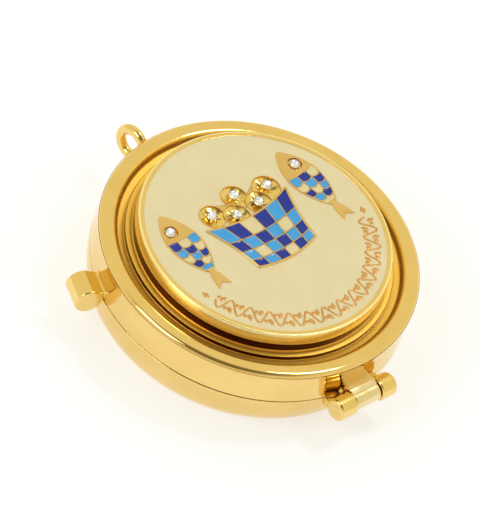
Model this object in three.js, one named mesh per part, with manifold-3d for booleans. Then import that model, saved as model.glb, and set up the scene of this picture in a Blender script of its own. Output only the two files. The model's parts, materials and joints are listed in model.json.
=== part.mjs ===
// A round hinged pyx: a shallow gold-plated box with an enamelled medallion on its lid.
// Millimetres, +Z up. The origin is the centre of the flat underside.
// The hinge is on the -Y side, and the lid swings up about the X direction.

import * as THREE from 'three';
import { mergeVertices } from 'three/addons/utils/BufferGeometryUtils.js';
import Module from 'manifold-3d';

// Walls and clearances
const wallRadius = 26.8;
const wallThickness = 1.3;
const floorThickness = 1.2;
const partingGap = 0.15;
const collarClearance = 0.1;
const lidClearance = 0.2;
const seatGap = 0.2;
const cutMargin = 1.0;

// Base
const baseHeight = 6.95;
const baseCurveRun = 3.1;
const ledgeHeight = 3.5;
const wellFillet = 1.5;

// Collar that guides the lid
const collarThickness = 1.0;
const collarReach = 1.85;
const collarChamfer = 0.3;

// Lid, from its rolled rim inwards over the steps
const rimProud = 0.2;
const rimRoll = 1.0;
const rimHeight = 5.65;
const shelfWidth = 3.25;
const shelfHeight = 6.1;
const moatWidth = 1.32;
const moatDepth = 0.9;
const stepHeight = 1.15;
const treadWidth = 1.23;
const treadFall = 0.3;
const plateauStep = 1.35;
const roofThickness = 1.2;
const lidFillet = 0.8;

// Medallion
const plateOverhang = 0.14;
const plateThickness = 2.35;
const plateGap = 0.1;
const plateBevel = 0.25;
const bezelWidth = 1.24;
const enamelDepth = 0.6;
const enamelDrop = 0.05;
const inlayGap = 0.1;
const medallionTurn = 2.5;
const figureProud = 0.15;
const figureWall = 0.4;

// Hinge
const knuckleRadius = 2.0;
const middleKnuckleRadius = 1.65;
const hingeLength = 12.5;
const middleKnuckleLength = 5.3;
const knuckleGap = 0.15;
const knuckleRound = 0.5;
const farKnuckleRound = 0.9;
const hingeHeight = 7.0;
const pinRadius = 0.6;
const pinClearance = 0.08;
const pinEndWall = 0.8;
const leafThickness = 1.8;
const hingeAngle = -90;

// Thumb catch
const catchRadius = 2.4;
const catchLength = 4.9;
const catchRound = 0.45;
const catchHeight = 7.0;
const catchFall = 0.75;
const catchAngle = 159.1;

// Cord ring
const ringRadius = 2.5;
const ringWire = 1.7;
const ringHeight = 9.25;
const ringAngle = 92.8;

// Clear stones
const stoneRadius = 0.95;
const stoneCrown = 0.35;
const stonePavilion = 0.45;
const stoneGirdle = 0.08;
const stoneTable = 0.55;
const stoneGap = 0.12;

// Loaves and basket, drawn on a field 20 units in radius with its centre at 0, 0
const figureField = 20;
const loafRadius = 2.45;
const loafRim = 0.35;
const loafPost = 0.3;
const loafCupDepth = 0.45;
const loafPlaces = [[-5.5, 7.3], [0.8, 8.65], [7.1, 7.4], [-1.6, 5.3], [3.55, 5.5]];
const basketCentre = 0.5;
const basketTopHalf = 9.05;
const basketBottomHalf = 6.45;
const basketTop = 3.9;
const basketTopSag = 1.55;
const basketBottom = -5.8;
const basketBottomBulge = 1.1;
const basketFlare = 1.6;
const heapAcross = 0.88;
const heapUp = 0.7;

// Fishes, drawn on the same field, nose upwards
const fishLength = 13.1;
const fishWidth = 5.9;
const fishStem = 0.45;
const fishForward = 0.9;
const fishFullness = 0.8;
const fishTailLength = 3.4;
const fishTailHalf = 1.45;
const fishTailShoulderHalf = 1.1;
const fishTailShoulderBelow = 1.3;
const fishTailNotch = 2.45;
const fishEyeAside = 0.65;
const fishEyeBelow = 3.5;
const fishNoseShare = 0.03;
const fishHeadShare = 0.4;
const fishBodyShare = 0.95;
const fishes = {
  left: { nose: [-13.3, 11.8], tilt: -0.9, side: -1 },
  right: { nose: [13.35, 11.65], tilt: 4.9, side: 1 },
};

// Facets
const roundSteps = 60;
const smallSteps = 20;
const arcSteps = 5;
const outlineSteps = 8;
const stoneFacets = 8;

// Sizes that follow from the ones above
const baseBoreRadius = wallRadius - wallThickness;
const collarOuterRadius = baseBoreRadius - collarClearance;
const wellRadius = collarOuterRadius - collarThickness;
const collarTop = baseHeight + collarReach;
const lidBottom = baseHeight + partingGap;
const lidBoreRadius = collarOuterRadius + lidClearance;
const rimCentreRadius = wallRadius + rimProud - rimRoll;
const rimCentreHeight = lidBottom + rimHeight;
const shelfInnerRadius = wallRadius + rimProud - shelfWidth;
const shelfZ = lidBottom + shelfHeight;
const stepRadius = shelfInnerRadius - moatWidth;
const moatZ = shelfZ - moatDepth;
const treadZ = moatZ + stepHeight;
const plateauRadius = stepRadius - treadWidth;
const plateauZ = treadZ + plateauStep;
const plateRadius = plateauRadius + plateOverhang;
const plateBottom = plateauZ + plateGap;
const plateTop = plateBottom + plateThickness;
const fieldRadius = plateRadius - bezelWidth;
const enamelTop = plateTop - enamelDrop;
const enamelFloor = enamelTop - enamelDepth;
const figureTop = enamelTop + figureProud;
const figureUnit = fieldRadius / figureField;
const hingeAxisRadius = wallRadius + seatGap + knuckleRadius;
const catchAxisRadius = wallRadius + seatGap + catchRadius;
const ringCentreRadius = wallRadius + seatGap + ringRadius;
const boreRadius = pinRadius + pinClearance;

const degrees = THREE.MathUtils.degToRad;

const wasm = await Module();
wasm.setup();

// Materials
const gold = new THREE.MeshStandardMaterial({ color: 0xe4c069, roughness: 0.15, metalness: 1 });
const cream = new THREE.MeshStandardMaterial({ color: 0xe5dbac, roughness: 0.2, metalness: 0 });
const darkBlue = new THREE.MeshStandardMaterial({ color: 0x3746a5, roughness: 0.2, metalness: 0 });
const lightBlue = new THREE.MeshStandardMaterial({ color: 0x4ba5eb, roughness: 0.2, metalness: 0 });
const crystal = new THREE.MeshStandardMaterial({ color: 0xf2f6fa, roughness: 0.05, metalness: 0 });

// A closed geometry with shared vertices and no flat triangles
function weld(geometry) {
  const bare = geometry.clone();
  bare.deleteAttribute('normal');
  bare.deleteAttribute('uv');
  const merged = mergeVertices(bare, 1e-4);
  const index = [...merged.index.array];
  const kept = [];
  for (let i = 0; i < index.length; i += 3) {
    const [a, b, c] = index.slice(i, i + 3);
    if (a !== b && b !== c && c !== a) kept.push(a, b, c);
  }
  merged.setIndex(kept);
  return merged;
}

function toSolid(geometry) {
  const welded = weld(geometry);
  return new wasm.Manifold(new wasm.Mesh({
    numProp: 3,
    vertProperties: new Float32Array(welded.attributes.position.array),
    triVerts: new Uint32Array(welded.index.array),
  }));
}

function toGeometry(solid) {
  const mesh = solid.getMesh();
  const geometry = new THREE.BufferGeometry();
  geometry.setAttribute('position', new THREE.BufferAttribute(mesh.vertProperties, 3));
  geometry.setIndex(new THREE.BufferAttribute(mesh.triVerts, 1));
  geometry.computeVertexNormals();
  return geometry;
}

// Points of a round stretch, angles in degrees from the radial direction
function arc(centreR, centreZ, radiusR, radiusZ, from, to, steps = arcSteps) {
  return Array.from({ length: steps + 1 }, (_, i) => {
    const angle = degrees(from + (to - from) * i / steps);
    return [centreR + radiusR * Math.cos(angle), centreZ + radiusZ * Math.sin(angle)];
  });
}

// A profile of [radius, height] turned about the Z axis
function turned(profile, steps = roundSteps) {
  const points = profile.map(([r, z]) => new THREE.Vector2(r, z));
  return new THREE.LatheGeometry(points, steps).rotateX(Math.PI / 2);
}

// A profile of [radius, place] turned about an axis along local Y at a radius and height
function turnedAcross(profile, radius, height, steps = smallSteps) {
  const points = profile.map(([r, y]) => new THREE.Vector2(r, y));
  return new THREE.LatheGeometry(points, steps).translate(radius, 0, height);
}

// An outline in the X-Y plane raised from one height to another
function prism(outline, bottom, top) {
  const shape = new THREE.Shape(outline.map(([x, y]) => new THREE.Vector2(x, y)));
  const options = { depth: top - bottom, bevelEnabled: false, curveSegments: 1 };
  return new THREE.ExtrudeGeometry(shape, options).translate(0, 0, bottom);
}

// An outline of [radius, height] carried along local Y from one place to another
function slab(outline, from, to) {
  return prism(outline, -to, -from).rotateX(Math.PI / 2);
}

// The outline moved outwards by a distance, along the mean of each corner's two edge normals
function grown(outline, distance) {
  const count = outline.length;
  return outline.map(([x, y], i) => {
    const [px, py] = outline[(i + count - 1) % count];
    const [nx, ny] = outline[(i + 1) % count];
    const before = new THREE.Vector2(y - py, px - x).normalize();
    const after = new THREE.Vector2(ny - y, x - nx).normalize();
    const mean = before.clone().add(after).normalize();
    const reach = distance / Math.max(mean.dot(after), 0.5);
    return [x + mean.x * reach, y + mean.y * reach];
  });
}

// The wall's cylinder with the seat gap round it, for shaping what is fixed to the wall
function wallCutter() {
  const reach = wallRadius + seatGap;
  return toSolid(turned([[0, -cutMargin], [reach, -cutMargin], [reach, plateTop], [0, plateTop]], roundSteps * 2));
}

// A closed barrel profile about its own axis, with a rounded shoulder at each end that has one
function barrelProfile(radius, from, to, roundFrom, roundTo) {
  const start = roundFrom > 0
    ? arc(radius - roundFrom, from + roundFrom, roundFrom, roundFrom, -90, 0, 3)
    : [[radius, from]];
  const end = roundTo > 0
    ? arc(radius - roundTo, to - roundTo, roundTo, roundTo, 0, 90, 3)
    : [[radius, to]];
  return [[0, from], ...start, ...end, [0, to]];
}

// Base: flat underside, curved side, floor, well and the ledge for the collar
function baseShell() {
  const footRadius = wallRadius - baseCurveRun;
  const side = arc(footRadius, baseHeight, baseCurveRun, baseHeight, -90, 0, arcSteps + 3);
  const filletZ = floorThickness + wellFillet;
  const fillet = arc(wellRadius - wellFillet, filletZ, wellFillet, wellFillet, 0, -90, 3);
  return turned([
    [0, 0],
    ...side,
    [baseBoreRadius, baseHeight],
    [baseBoreRadius, ledgeHeight],
    [wellRadius, ledgeHeight],
    ...fillet,
    [0, floorThickness],
  ]);
}

// Collar: a thin ring standing on the ledge and rising into the lid
function baseCollar() {
  return turned([
    [wellRadius, ledgeHeight],
    [collarOuterRadius, ledgeHeight],
    [collarOuterRadius, collarTop - collarChamfer],
    [collarOuterRadius - collarChamfer, collarTop],
    [wellRadius, collarTop],
    [wellRadius, ledgeHeight],
  ]);
}

// Lid: wall, rolled rim, sloping shelf, moat, step, sloping tread and the raised plateau
function lidShell() {
  const rimMeetsWall = -THREE.MathUtils.radToDeg(Math.acos((rimRoll - rimProud) / rimRoll));
  const rimTopAngle = 100;
  const ceilingZ = moatZ - roofThickness;
  const plateauInnerRadius = plateauRadius - roofThickness;
  const ceilingEdge = lidBoreRadius - lidFillet;
  return turned([
    [0, plateauZ - roofThickness],
    [plateauInnerRadius, plateauZ - roofThickness],
    [plateauInnerRadius, ceilingZ],
    ...arc(ceilingEdge, ceilingZ - lidFillet, lidFillet, lidFillet, 90, 0, 2),
    [lidBoreRadius, lidBottom],
    [wallRadius, lidBottom],
    ...arc(rimCentreRadius, rimCentreHeight, rimRoll, rimRoll, rimMeetsWall, rimTopAngle),
    [shelfInnerRadius, shelfZ],
    [stepRadius, moatZ],
    [stepRadius, treadZ - treadFall],
    [plateauRadius, treadZ],
    [plateauRadius, plateauZ],
    [0, plateauZ],
  ]);
}

// Basket outline: corners wide at the top, concave sides, sagging top edge and bulging foot
function basketPoint(across, up) {
  const half = basketBottomHalf + (basketTopHalf - basketBottomHalf) * up ** basketFlare;
  const low = basketBottom + basketBottomBulge * across * across;
  const high = basketTop + basketTopSag * across * across;
  const x = basketCentre + across * half;
  return [x * figureUnit, (low + (high - low) * up) * figureUnit];
}

function basketOutline() {
  const share = Array.from({ length: outlineSteps }, (_, i) => i / outlineSteps);
  return [
    ...share.map((t) => basketPoint(2 * t - 1, 0)),
    ...share.map((t) => basketPoint(1, t)),
    ...share.map((t) => basketPoint(1 - 2 * t, 1)),
    ...share.map((t) => basketPoint(-1, 1 - t)),
  ];
}

// Gold ground that joins the loaves to the basket's top edge
function heapOutline() {
  const [left, middle, right] = loafPlaces.map(([x, y]) => [x * figureUnit, y * figureUnit]);
  const foot = [basketPoint(-heapAcross, heapUp), basketPoint(heapAcross, heapUp)];
  return [...foot, basketPoint(heapAcross, 1), right, middle, left, basketPoint(-heapAcross, 1)];
}

// Half width of a fish at a share of its length from the nose
function fishHalfWidth(share) {
  return fishWidth / 2 * Math.sin(Math.PI * share ** fishForward) ** fishFullness + fishStem * share;
}

// A point of a fish's own frame, nose at 0, 0 and body downwards, carried to the medallion
function fishPlace(fish, x, y) {
  const turn = degrees(fish.tilt);
  return [
    (fish.nose[0] + x * Math.cos(turn) - y * Math.sin(turn)) * figureUnit,
    (fish.nose[1] + x * Math.sin(turn) + y * Math.cos(turn)) * figureUnit,
  ];
}

function fishFlank(from, to, sign) {
  return Array.from({ length: outlineSteps + 1 }, (_, i) => {
    const share = from + (to - from) * i / outlineSteps;
    return [sign * fishHalfWidth(share), -share * fishLength];
  });
}

function fishOutline(fish) {
  const tailEnd = -fishLength - fishTailLength;
  const shoulder = -fishLength - fishTailShoulderBelow;
  const outline = [
    [0, 0],
    ...fishFlank(fishNoseShare, 1, -1),
    [-fishTailShoulderHalf, shoulder],
    [-fishTailHalf, tailEnd],
    [0, -fishLength - fishTailNotch],
    [fishTailHalf, tailEnd],
    [fishTailShoulderHalf, shoulder],
    ...fishFlank(1, fishNoseShare, 1),
  ];
  return outline.map(([x, y]) => fishPlace(fish, x, y));
}

// The enamelled part of a fish's body, between its head and its tail
function fishBodyOutline(fish) {
  const outline = [
    ...fishFlank(fishHeadShare, fishBodyShare, -1),
    ...fishFlank(fishBodyShare, fishHeadShare, 1),
  ];
  return outline.map(([x, y]) => fishPlace(fish, x, y));
}

// Where the clear stones sit: one on each loaf and one at each fish's eye
function stonePlaces() {
  const loafStones = loafPlaces.map(([x, y]) => [x * figureUnit, y * figureUnit]);
  const eyeStones = Object.values(fishes).map((fish) => {
    return fishPlace(fish, fish.side * fishEyeAside, -fishEyeBelow);
  });
  return [...loafStones, ...eyeStones];
}

// A round loaf standing on the medallion's recessed floor
function loaf([x, y]) {
  const radius = loafRadius * figureUnit;
  const root = enamelFloor - inlayGap;
  const profile = [[0, root], [radius, root], [radius, figureTop], [0, figureTop]];
  return turned(profile, smallSteps).translate(x * figureUnit, y * figureUnit, 0);
}

// The dished hollow round a loaf's stone, inside the loaf's thin rim
function loafCup([x, y]) {
  const inner = stoneRadius + stoneGap + loafPost;
  const outer = Math.max(loafRadius * figureUnit - loafRim, inner + loafRim);
  const floor = figureTop - loafCupDepth;
  const profile = [
    [inner, floor],
    [(inner + outer) / 2, floor],
    [outer, figureTop],
    [outer, figureTop + cutMargin],
    [inner, figureTop + cutMargin],
    [inner, floor],
  ];
  return turned(profile, smallSteps).translate(x * figureUnit, y * figureUnit, 0);
}

// The hole that a stone drops into
function stoneSeat([x, y]) {
  const radius = stoneRadius + stoneGap;
  const floor = figureTop - stonePavilion - stoneGap;
  const top = figureTop + cutMargin;
  return turned([[0, floor], [radius, floor], [radius, top], [0, top]], smallSteps).translate(x, y, 0);
}

// Medallion plate: bezel, recess, and the gold figures standing in the recess
function medallionPlate() {
  const shoulder = plateTop - plateBevel;
  let plate = toSolid(turned([
    [0, plateBottom],
    [plateRadius, plateBottom],
    [plateRadius, shoulder],
    [plateRadius - plateBevel, plateTop],
    [fieldRadius, plateTop],
    [fieldRadius, enamelFloor],
    [0, enamelFloor],
  ]));
  const root = enamelFloor - inlayGap;
  plate = plate.add(toSolid(prism(heapOutline(), root, enamelTop)));
  for (const place of loafPlaces) plate = plate.add(toSolid(loaf(place)));
  for (const place of loafPlaces) plate = plate.subtract(toSolid(loafCup(place)));
  plate = plate.add(toSolid(prism(basketOutline(), root, figureTop)));
  const pocketTop = figureTop + cutMargin;
  plate = plate.subtract(toSolid(prism(grown(basketOutline(), -figureWall), enamelFloor, pocketTop)));
  for (const fish of Object.values(fishes)) {
    plate = plate.add(toSolid(prism(fishOutline(fish), root, figureTop)));
    const pocket = grown(fishBodyOutline(fish), -figureWall);
    plate = plate.subtract(toSolid(prism(pocket, enamelFloor, pocketTop)));
  }
  for (const place of stonePlaces()) plate = plate.subtract(toSolid(stoneSeat(place)));
  return toGeometry(plate);
}

// Enamel field: a thin disc in the recess with openings round the gold figures
function enamelField() {
  const radius = fieldRadius - inlayGap;
  const bottom = enamelFloor + inlayGap;
  const below = bottom - cutMargin;
  const above = enamelTop + cutMargin;
  let field = toSolid(turned([[0, bottom], [radius, bottom], [radius, enamelTop], [0, enamelTop]]));
  const openings = [basketOutline(), heapOutline(), ...Object.values(fishes).map(fishOutline)];
  for (const outline of openings) {
    field = field.subtract(toSolid(prism(grown(outline, inlayGap), below, above)));
  }
  const loafHole = loafRadius * figureUnit + inlayGap;
  for (const [x, y] of loafPlaces) {
    const hole = turned([[0, below], [loafHole, below], [loafHole, above], [0, above]], smallSteps);
    field = field.subtract(toSolid(hole.translate(x * figureUnit, y * figureUnit, 0)));
  }
  return toGeometry(field);
}

// A thin piece of enamel that fills a pocket in the gold figures
function inlay(outline) {
  return prism(grown(outline, -figureWall - inlayGap), enamelFloor + inlayGap, figureTop - enamelDrop);
}

// A clear stone: flat table, sloping crown, thin girdle and a pointed pavilion
function stone([x, y]) {
  const profile = [
    [0, -stonePavilion],
    [stoneRadius, 0],
    [stoneRadius, stoneGirdle],
    [stoneTable, stoneGirdle + stoneCrown],
    [0, stoneGirdle + stoneCrown],
  ];
  return turned(profile, stoneFacets).translate(x, y, figureTop);
}

// A hinge knuckle soldered to the base's wall by a foot below the parting line
function outerKnuckle(side) {
  const inner = middleKnuckleLength / 2 + knuckleGap;
  const outer = hingeLength / 2;
  const [from, to] = side < 0 ? [-outer, -inner] : [inner, outer];
  const rounds = side < 0 ? [knuckleRound, 0] : [0, farKnuckleRound];
  const barrel = barrelProfile(knuckleRadius, from, to, ...rounds);
  const footTop = baseHeight - partingGap;
  const footOutline = [
    [wallRadius - knuckleRadius, hingeHeight - leafThickness],
    [hingeAxisRadius - knuckleRadius / 2, hingeHeight - leafThickness],
    [hingeAxisRadius, footTop],
    [wallRadius - knuckleRadius, footTop],
  ];
  const foot = slab(footOutline, from + rounds[0], to - rounds[1]);
  const boreFrom = side < 0 ? from + pinEndWall : from - cutMargin;
  const boreTo = to + cutMargin;
  const bore = [[0, boreFrom], [boreRadius, boreFrom], [boreRadius, boreTo], [0, boreTo]];
  const solid = toSolid(turnedAcross(barrel, hingeAxisRadius, hingeHeight))
    .add(toSolid(foot))
    .subtract(wallCutter())
    .subtract(toSolid(turnedAcross(bore, hingeAxisRadius, hingeHeight)));
  return toGeometry(solid);
}

// The lid's knuckle, with a flat-topped leaf to the lid's wall
function middleKnuckle() {
  const half = middleKnuckleLength / 2;
  const leafBottom = lidBottom + seatGap;
  const leafTop = hingeHeight + leafThickness + seatGap;
  const leafOutline = [
    [wallRadius - middleKnuckleRadius, leafBottom],
    [hingeAxisRadius, leafBottom],
    [hingeAxisRadius, hingeHeight + middleKnuckleRadius],
    [hingeAxisRadius - middleKnuckleRadius / 2, leafTop],
    [wallRadius - middleKnuckleRadius, leafTop],
  ];
  const boreEnd = half + cutMargin;
  const bore = [[0, -boreEnd], [boreRadius, -boreEnd], [boreRadius, boreEnd], [0, boreEnd]];
  const barrel = barrelProfile(middleKnuckleRadius, -half, half, 0, 0);
  const solid = toSolid(turnedAcross(barrel, hingeAxisRadius, hingeHeight))
    .add(toSolid(slab(leafOutline, -half, half)))
    .subtract(wallCutter())
    .subtract(toSolid(turnedAcross(bore, hingeAxisRadius, hingeHeight)));
  return toGeometry(solid);
}

// Hinge pin, from the blind end of the left knuckle to the right knuckle's end
function hingePin() {
  const from = -hingeLength / 2 + pinEndWall + pinClearance;
  const to = hingeLength / 2 - pinClearance;
  const profile = [[0, from], [pinRadius, from], [pinRadius, to], [0, to]];
  return turnedAcross(profile, hingeAxisRadius, hingeHeight);
}

// Thumb catch: a barrel lying along the wall, with a hollow leaf that falls to the lid
function thumbCatch() {
  const half = catchLength / 2;
  const leafTop = catchHeight + catchRadius - seatGap;
  const leafBottom = lidBottom + seatGap;
  const hollowRadius = (wallRadius + catchAxisRadius) / 2;
  const leafOutline = [
    [wallRadius - catchRadius, leafBottom],
    [catchAxisRadius, leafBottom],
    [catchAxisRadius, leafTop],
    [hollowRadius, leafTop - catchFall * Math.SQRT1_2],
    [wallRadius, leafTop - catchFall],
    [wallRadius - catchRadius, leafTop - catchFall],
  ];
  const barrel = barrelProfile(catchRadius, -half, half, catchRound, catchRound);
  const leafHalf = half - catchRound;
  const solid = toSolid(turnedAcross(barrel, catchAxisRadius, catchHeight))
    .add(toSolid(slab(leafOutline, -leafHalf, leafHalf)))
    .subtract(wallCutter());
  return toGeometry(solid);
}

// Cord ring: a wire loop standing upright on the wall, its hole along the wall
function cordRing() {
  const loop = new THREE.TorusGeometry(ringRadius, ringWire / 2, 10, 28);
  loop.rotateX(Math.PI / 2);
  loop.translate(ringCentreRadius, 0, ringHeight);
  return toGeometry(toSolid(loop).subtract(wallCutter()));
}

function piece(name, geometry, material) {
  const mesh = new THREE.Mesh(geometry, material);
  mesh.name = name;
  return mesh;
}

// A group turned about the box's axis, so that its local X points outwards at the angle
function atAngle(angle, ...pieces) {
  const group = new THREE.Group();
  group.rotation.z = degrees(angle);
  group.add(...pieces);
  return group;
}

const base = new THREE.Group();
base.add(
  piece('base_shell', baseShell(), gold),
  piece('base_collar', baseCollar(), gold),
  atAngle(
    hingeAngle,
    piece('hinge_knuckle_left', outerKnuckle(-1), gold),
    piece('hinge_knuckle_right', outerKnuckle(1), gold),
    piece('hinge_pin', hingePin(), gold),
  ),
);

const medallion = atAngle(
  medallionTurn,
  piece('medallion_plate', medallionPlate(), gold),
  piece('enamel_field', enamelField(), cream),
  piece('basket_inlay', inlay(basketOutline()), darkBlue),
  piece('fish_left_inlay', inlay(fishBodyOutline(fishes.left)), lightBlue),
  piece('fish_right_inlay', inlay(fishBodyOutline(fishes.right)), lightBlue),
  ...stonePlaces().map((place, i) => piece(`stone_${i + 1}`, stone(place), crystal)),
);

const lid = new THREE.Group();
lid.add(
  piece('lid_shell', lidShell(), gold),
  medallion,
  atAngle(hingeAngle, piece('hinge_knuckle_middle', middleKnuckle(), gold)),
  atAngle(catchAngle, piece('thumb_catch', thumbCatch(), gold)),
  atAngle(ringAngle, piece('cord_ring', cordRing(), gold)),
);

const pyx = new THREE.Group();
pyx.add(base, lid);

export default pyx;
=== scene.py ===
"""Looks of a round hinged pyx: polished gold, cream enamel, coloured enamel figures and clear stones.

Sizes are in millimetres and turn into metres where a mesh is made. +Z is up, the hinge lies towards -Y,
and the origin is the centre of the flat underside. A rounded profile lists its corners as radius,
height and rounding.
"""

import json
import logging
import math
from abc import ABC, abstractmethod
from collections.abc import Callable
from dataclasses import dataclass, field, replace
from enum import Enum

import bpy
import numpy as np
from mathutils import Matrix, Vector


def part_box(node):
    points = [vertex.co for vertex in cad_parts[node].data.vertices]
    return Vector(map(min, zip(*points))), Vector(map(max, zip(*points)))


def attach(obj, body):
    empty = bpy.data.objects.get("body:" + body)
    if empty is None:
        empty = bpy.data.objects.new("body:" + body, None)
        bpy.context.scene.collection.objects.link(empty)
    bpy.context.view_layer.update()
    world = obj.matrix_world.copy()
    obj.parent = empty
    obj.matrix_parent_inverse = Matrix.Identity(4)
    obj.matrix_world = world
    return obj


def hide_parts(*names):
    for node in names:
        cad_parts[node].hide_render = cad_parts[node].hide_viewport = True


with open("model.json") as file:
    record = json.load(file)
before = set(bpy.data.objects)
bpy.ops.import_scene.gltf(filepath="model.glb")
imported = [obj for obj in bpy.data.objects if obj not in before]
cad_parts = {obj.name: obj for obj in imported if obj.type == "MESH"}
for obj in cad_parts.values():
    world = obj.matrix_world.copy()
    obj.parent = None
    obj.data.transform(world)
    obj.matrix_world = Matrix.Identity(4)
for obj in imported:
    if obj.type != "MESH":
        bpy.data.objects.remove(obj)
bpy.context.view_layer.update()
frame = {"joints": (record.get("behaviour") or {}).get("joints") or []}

LOG = logging.getLogger("pyx")
MM = 0.001
TINY = 1e-9
ROUND_STEPS = 256
# The points that keep a flat flat lie off an arc by a share of its radius or of the room beside it.
ARC_GUARD, ROOM_GUARD = 0.3, 0.25
# Where a ridge's section has its points, and how far its foot reaches into what it stands on.
RIDGE_SHARES = np.array([-1, -0.85, -0.5, 0, 0.5, 0.85, 1])
RIDGE_ROOT = 0.1
# How far a cell's enamel reaches into its ground, and how far its corners are eased.
PAD_ROOT = 0.02
PAD_EASE = 0.16
# Over how many millimetres a painted ring fades in and out.
RING_EDGE = 0.1

Pair = tuple[float, float]
Triple = tuple[float, float, float]
Arrays = tuple[np.ndarray, np.ndarray]
CellMap = Callable[[np.ndarray, np.ndarray], Arrays]
Socket = bpy.types.NodeSocket

# The range that holds nearly all of a noise's values.
NOISE_MIDDLE: Pair = (0.3, 0.7)


class Body(Enum):
    """The two bodies that the pieces ride on."""

    BASE = "base"
    LID = "lid"


class Slot(Enum):
    """The record's material slots."""

    GOLD = "gold"
    CREAM = "enamel_cream"
    DARK_BLUE = "enamel_dark_blue"
    LIGHT_BLUE = "enamel_light_blue"
    CRYSTAL = "crystal"


class Side(Enum):
    """Which side of the box a piece is on, as the sign of its X."""

    LEFT = -1
    RIGHT = 1


def cad_low(node: str) -> np.ndarray:
    """Lowest corner of a CAD node's box, in millimetres."""
    return np.array(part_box(node)[0]) / MM


def cad_high(node: str) -> np.ndarray:
    """Highest corner of a CAD node's box, in millimetres."""
    return np.array(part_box(node)[1]) / MM


@dataclass
class Levels:
    """The medallion's heights: underside, cream enamel, gold figures and what lies between."""

    bottom: float
    enamel: float
    figure: float
    enamel_depth: float = 0.6
    ground_depth: float = 0.06
    pad_depth: float = 0.03

    def __post_init__(self) -> None:
        """Works out the dish's floor, the ground under the cells and the cells' rims."""
        self.floor = self.enamel - self.enamel_depth
        self.ground = self.enamel - self.ground_depth
        self.pad = self.figure - self.pad_depth


LEVELS = Levels(cad_low("medallion_plate")[2], cad_high("enamel_field")[2], cad_high("medallion_plate")[2])


def grid_quads(rows: int, columns: int, wrap_rows: bool = False, wrap_columns: bool = False) -> np.ndarray:
    """Corner numbers of the four-sided faces of a grid of points kept row by row.

    Args:
        rows: rows of points.
        columns: points in a row.
        wrap_rows: True joins the last row to the first.
        wrap_columns: True joins the last point of each row to its first.

    Returns:
        Faces by 4 corner numbers.
    """
    i = np.arange(rows if wrap_rows else rows - 1)[:, None]
    left = np.arange(columns if wrap_columns else columns - 1)[None, :]
    right = (left + 1) % columns
    below, above = (i + 1) % rows * columns, i * columns
    corners = (above + left, above + right, below + right, below + left)
    return np.stack([c.ravel() for c in corners], axis=1)


@dataclass
class Surface:
    """Points and faces of one closed surface or several, in millimetres."""

    points: np.ndarray
    quads: np.ndarray = field(default_factory=lambda: np.zeros((0, 4), int))
    triangles: np.ndarray = field(default_factory=lambda: np.zeros((0, 3), int))
    caps: list[list[int]] = field(default_factory=list)

    def moved(self, x: float = 0.0, y: float = 0.0, z: float = 0.0) -> "Surface":
        """The surface shifted by x, y and z."""
        return replace(self, points=self.points + np.array([x, y, z]))

    def turned(self, degrees: float) -> "Surface":
        """The surface turned about the Z axis, counter-clockwise seen from above."""
        c, s = math.cos(math.radians(degrees)), math.sin(math.radians(degrees))
        return replace(self, points=self.points @ np.array([[c, s, 0], [-s, c, 0], [0, 0, 1]]))

    def laid_down(self) -> "Surface":
        """A surface about the Z axis laid along the Y axis."""
        return replace(self, points=self.points[:, [0, 2, 1]]).outward()

    def mirrored(self) -> "Surface":
        """The surface's mirror image across Y."""
        return replace(self, points=self.points * np.array([1, -1, 1])).outward()

    def volume(self) -> float:
        """Signed volume: the sum over triangles of corner dot (corner cross corner), over six.

        Returns:
            The volume in cubic millimetres, below zero where the faces point inwards.
        """
        fans = [np.array([[c[0], c[k], c[k + 1]] for k in range(1, len(c) - 1)]) for c in self.caps]
        parts = [self.triangles, self.quads[:, [0, 1, 2]], self.quads[:, [0, 2, 3]], *fans]
        a, b, c = (self.points[np.concatenate(parts)][:, k] for k in range(3))
        return float(np.einsum("ij,ij->", a, np.cross(b, c))) / 6

    def outward(self) -> "Surface":
        """The surface with its faces turned to point out of the solid that it bounds.

        Returns:
            The surface itself, or a copy with every face turned over.
        """
        if self.volume() >= 0:
            return self
        caps = [c[::-1] for c in self.caps]
        return Surface(self.points, self.quads[:, ::-1], self.triangles[:, ::-1], caps)

    @staticmethod
    def joined(surfaces: list["Surface"]) -> "Surface":
        """All the surfaces as one, each kept whole.

        Args:
            surfaces: the surfaces to gather.

        Returns:
            One surface with every point and face.
        """
        starts = np.cumsum([0] + [len(s.points) for s in surfaces])
        return Surface(
            np.concatenate([s.points for s in surfaces]),
            np.concatenate([s.quads + n for s, n in zip(surfaces, starts)]),
            np.concatenate([s.triangles + n for s, n in zip(surfaces, starts)]),
            [[int(k + n) for k in c] for s, n in zip(surfaces, starts) for c in s.caps],
        )


def turned_grid(radius: np.ndarray, height: np.ndarray, loop: bool = False) -> Surface:
    """A surface round the Z axis: point (i, j) is (r cos a, r sin a, z) with a = 2 pi j / columns.

    Args:
        radius: rows by columns of distances from the axis; an end row of zeros closes in a pole.
        height: rows by columns of heights.
        loop: True joins the last row to the first, for a ring.

    Returns:
        The closed surface, faces outwards.
    """
    rows, columns = radius.shape
    angle = 2 * np.pi * np.arange(columns) / columns
    grid = np.stack([radius * np.cos(angle), radius * np.sin(angle), height], axis=2)
    first = 0 if loop or radius[0].max() > TINY else 1
    last = rows if loop or radius[-1].max() > TINY else rows - 1
    kept = grid[first:last].reshape(-1, 3)
    points, triangles = [kept], [np.zeros((0, 3), int)]
    j = np.arange(columns)
    after = (j + 1) % columns
    if first:
        points.append(grid[0, :1])
        triangles.append(np.stack([np.full(columns, len(kept)), after, j], axis=1))
    if last < rows:
        points.append(grid[-1, :1])
        edge = len(kept) - columns
        pole = np.full(columns, len(kept) + first)
        triangles.append(np.stack([edge + j, edge + after, pole], axis=1))
    quads = grid_quads(last - first, columns, wrap_rows=loop, wrap_columns=True)
    return Surface(np.concatenate(points), quads, np.concatenate(triangles)).outward()


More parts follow.
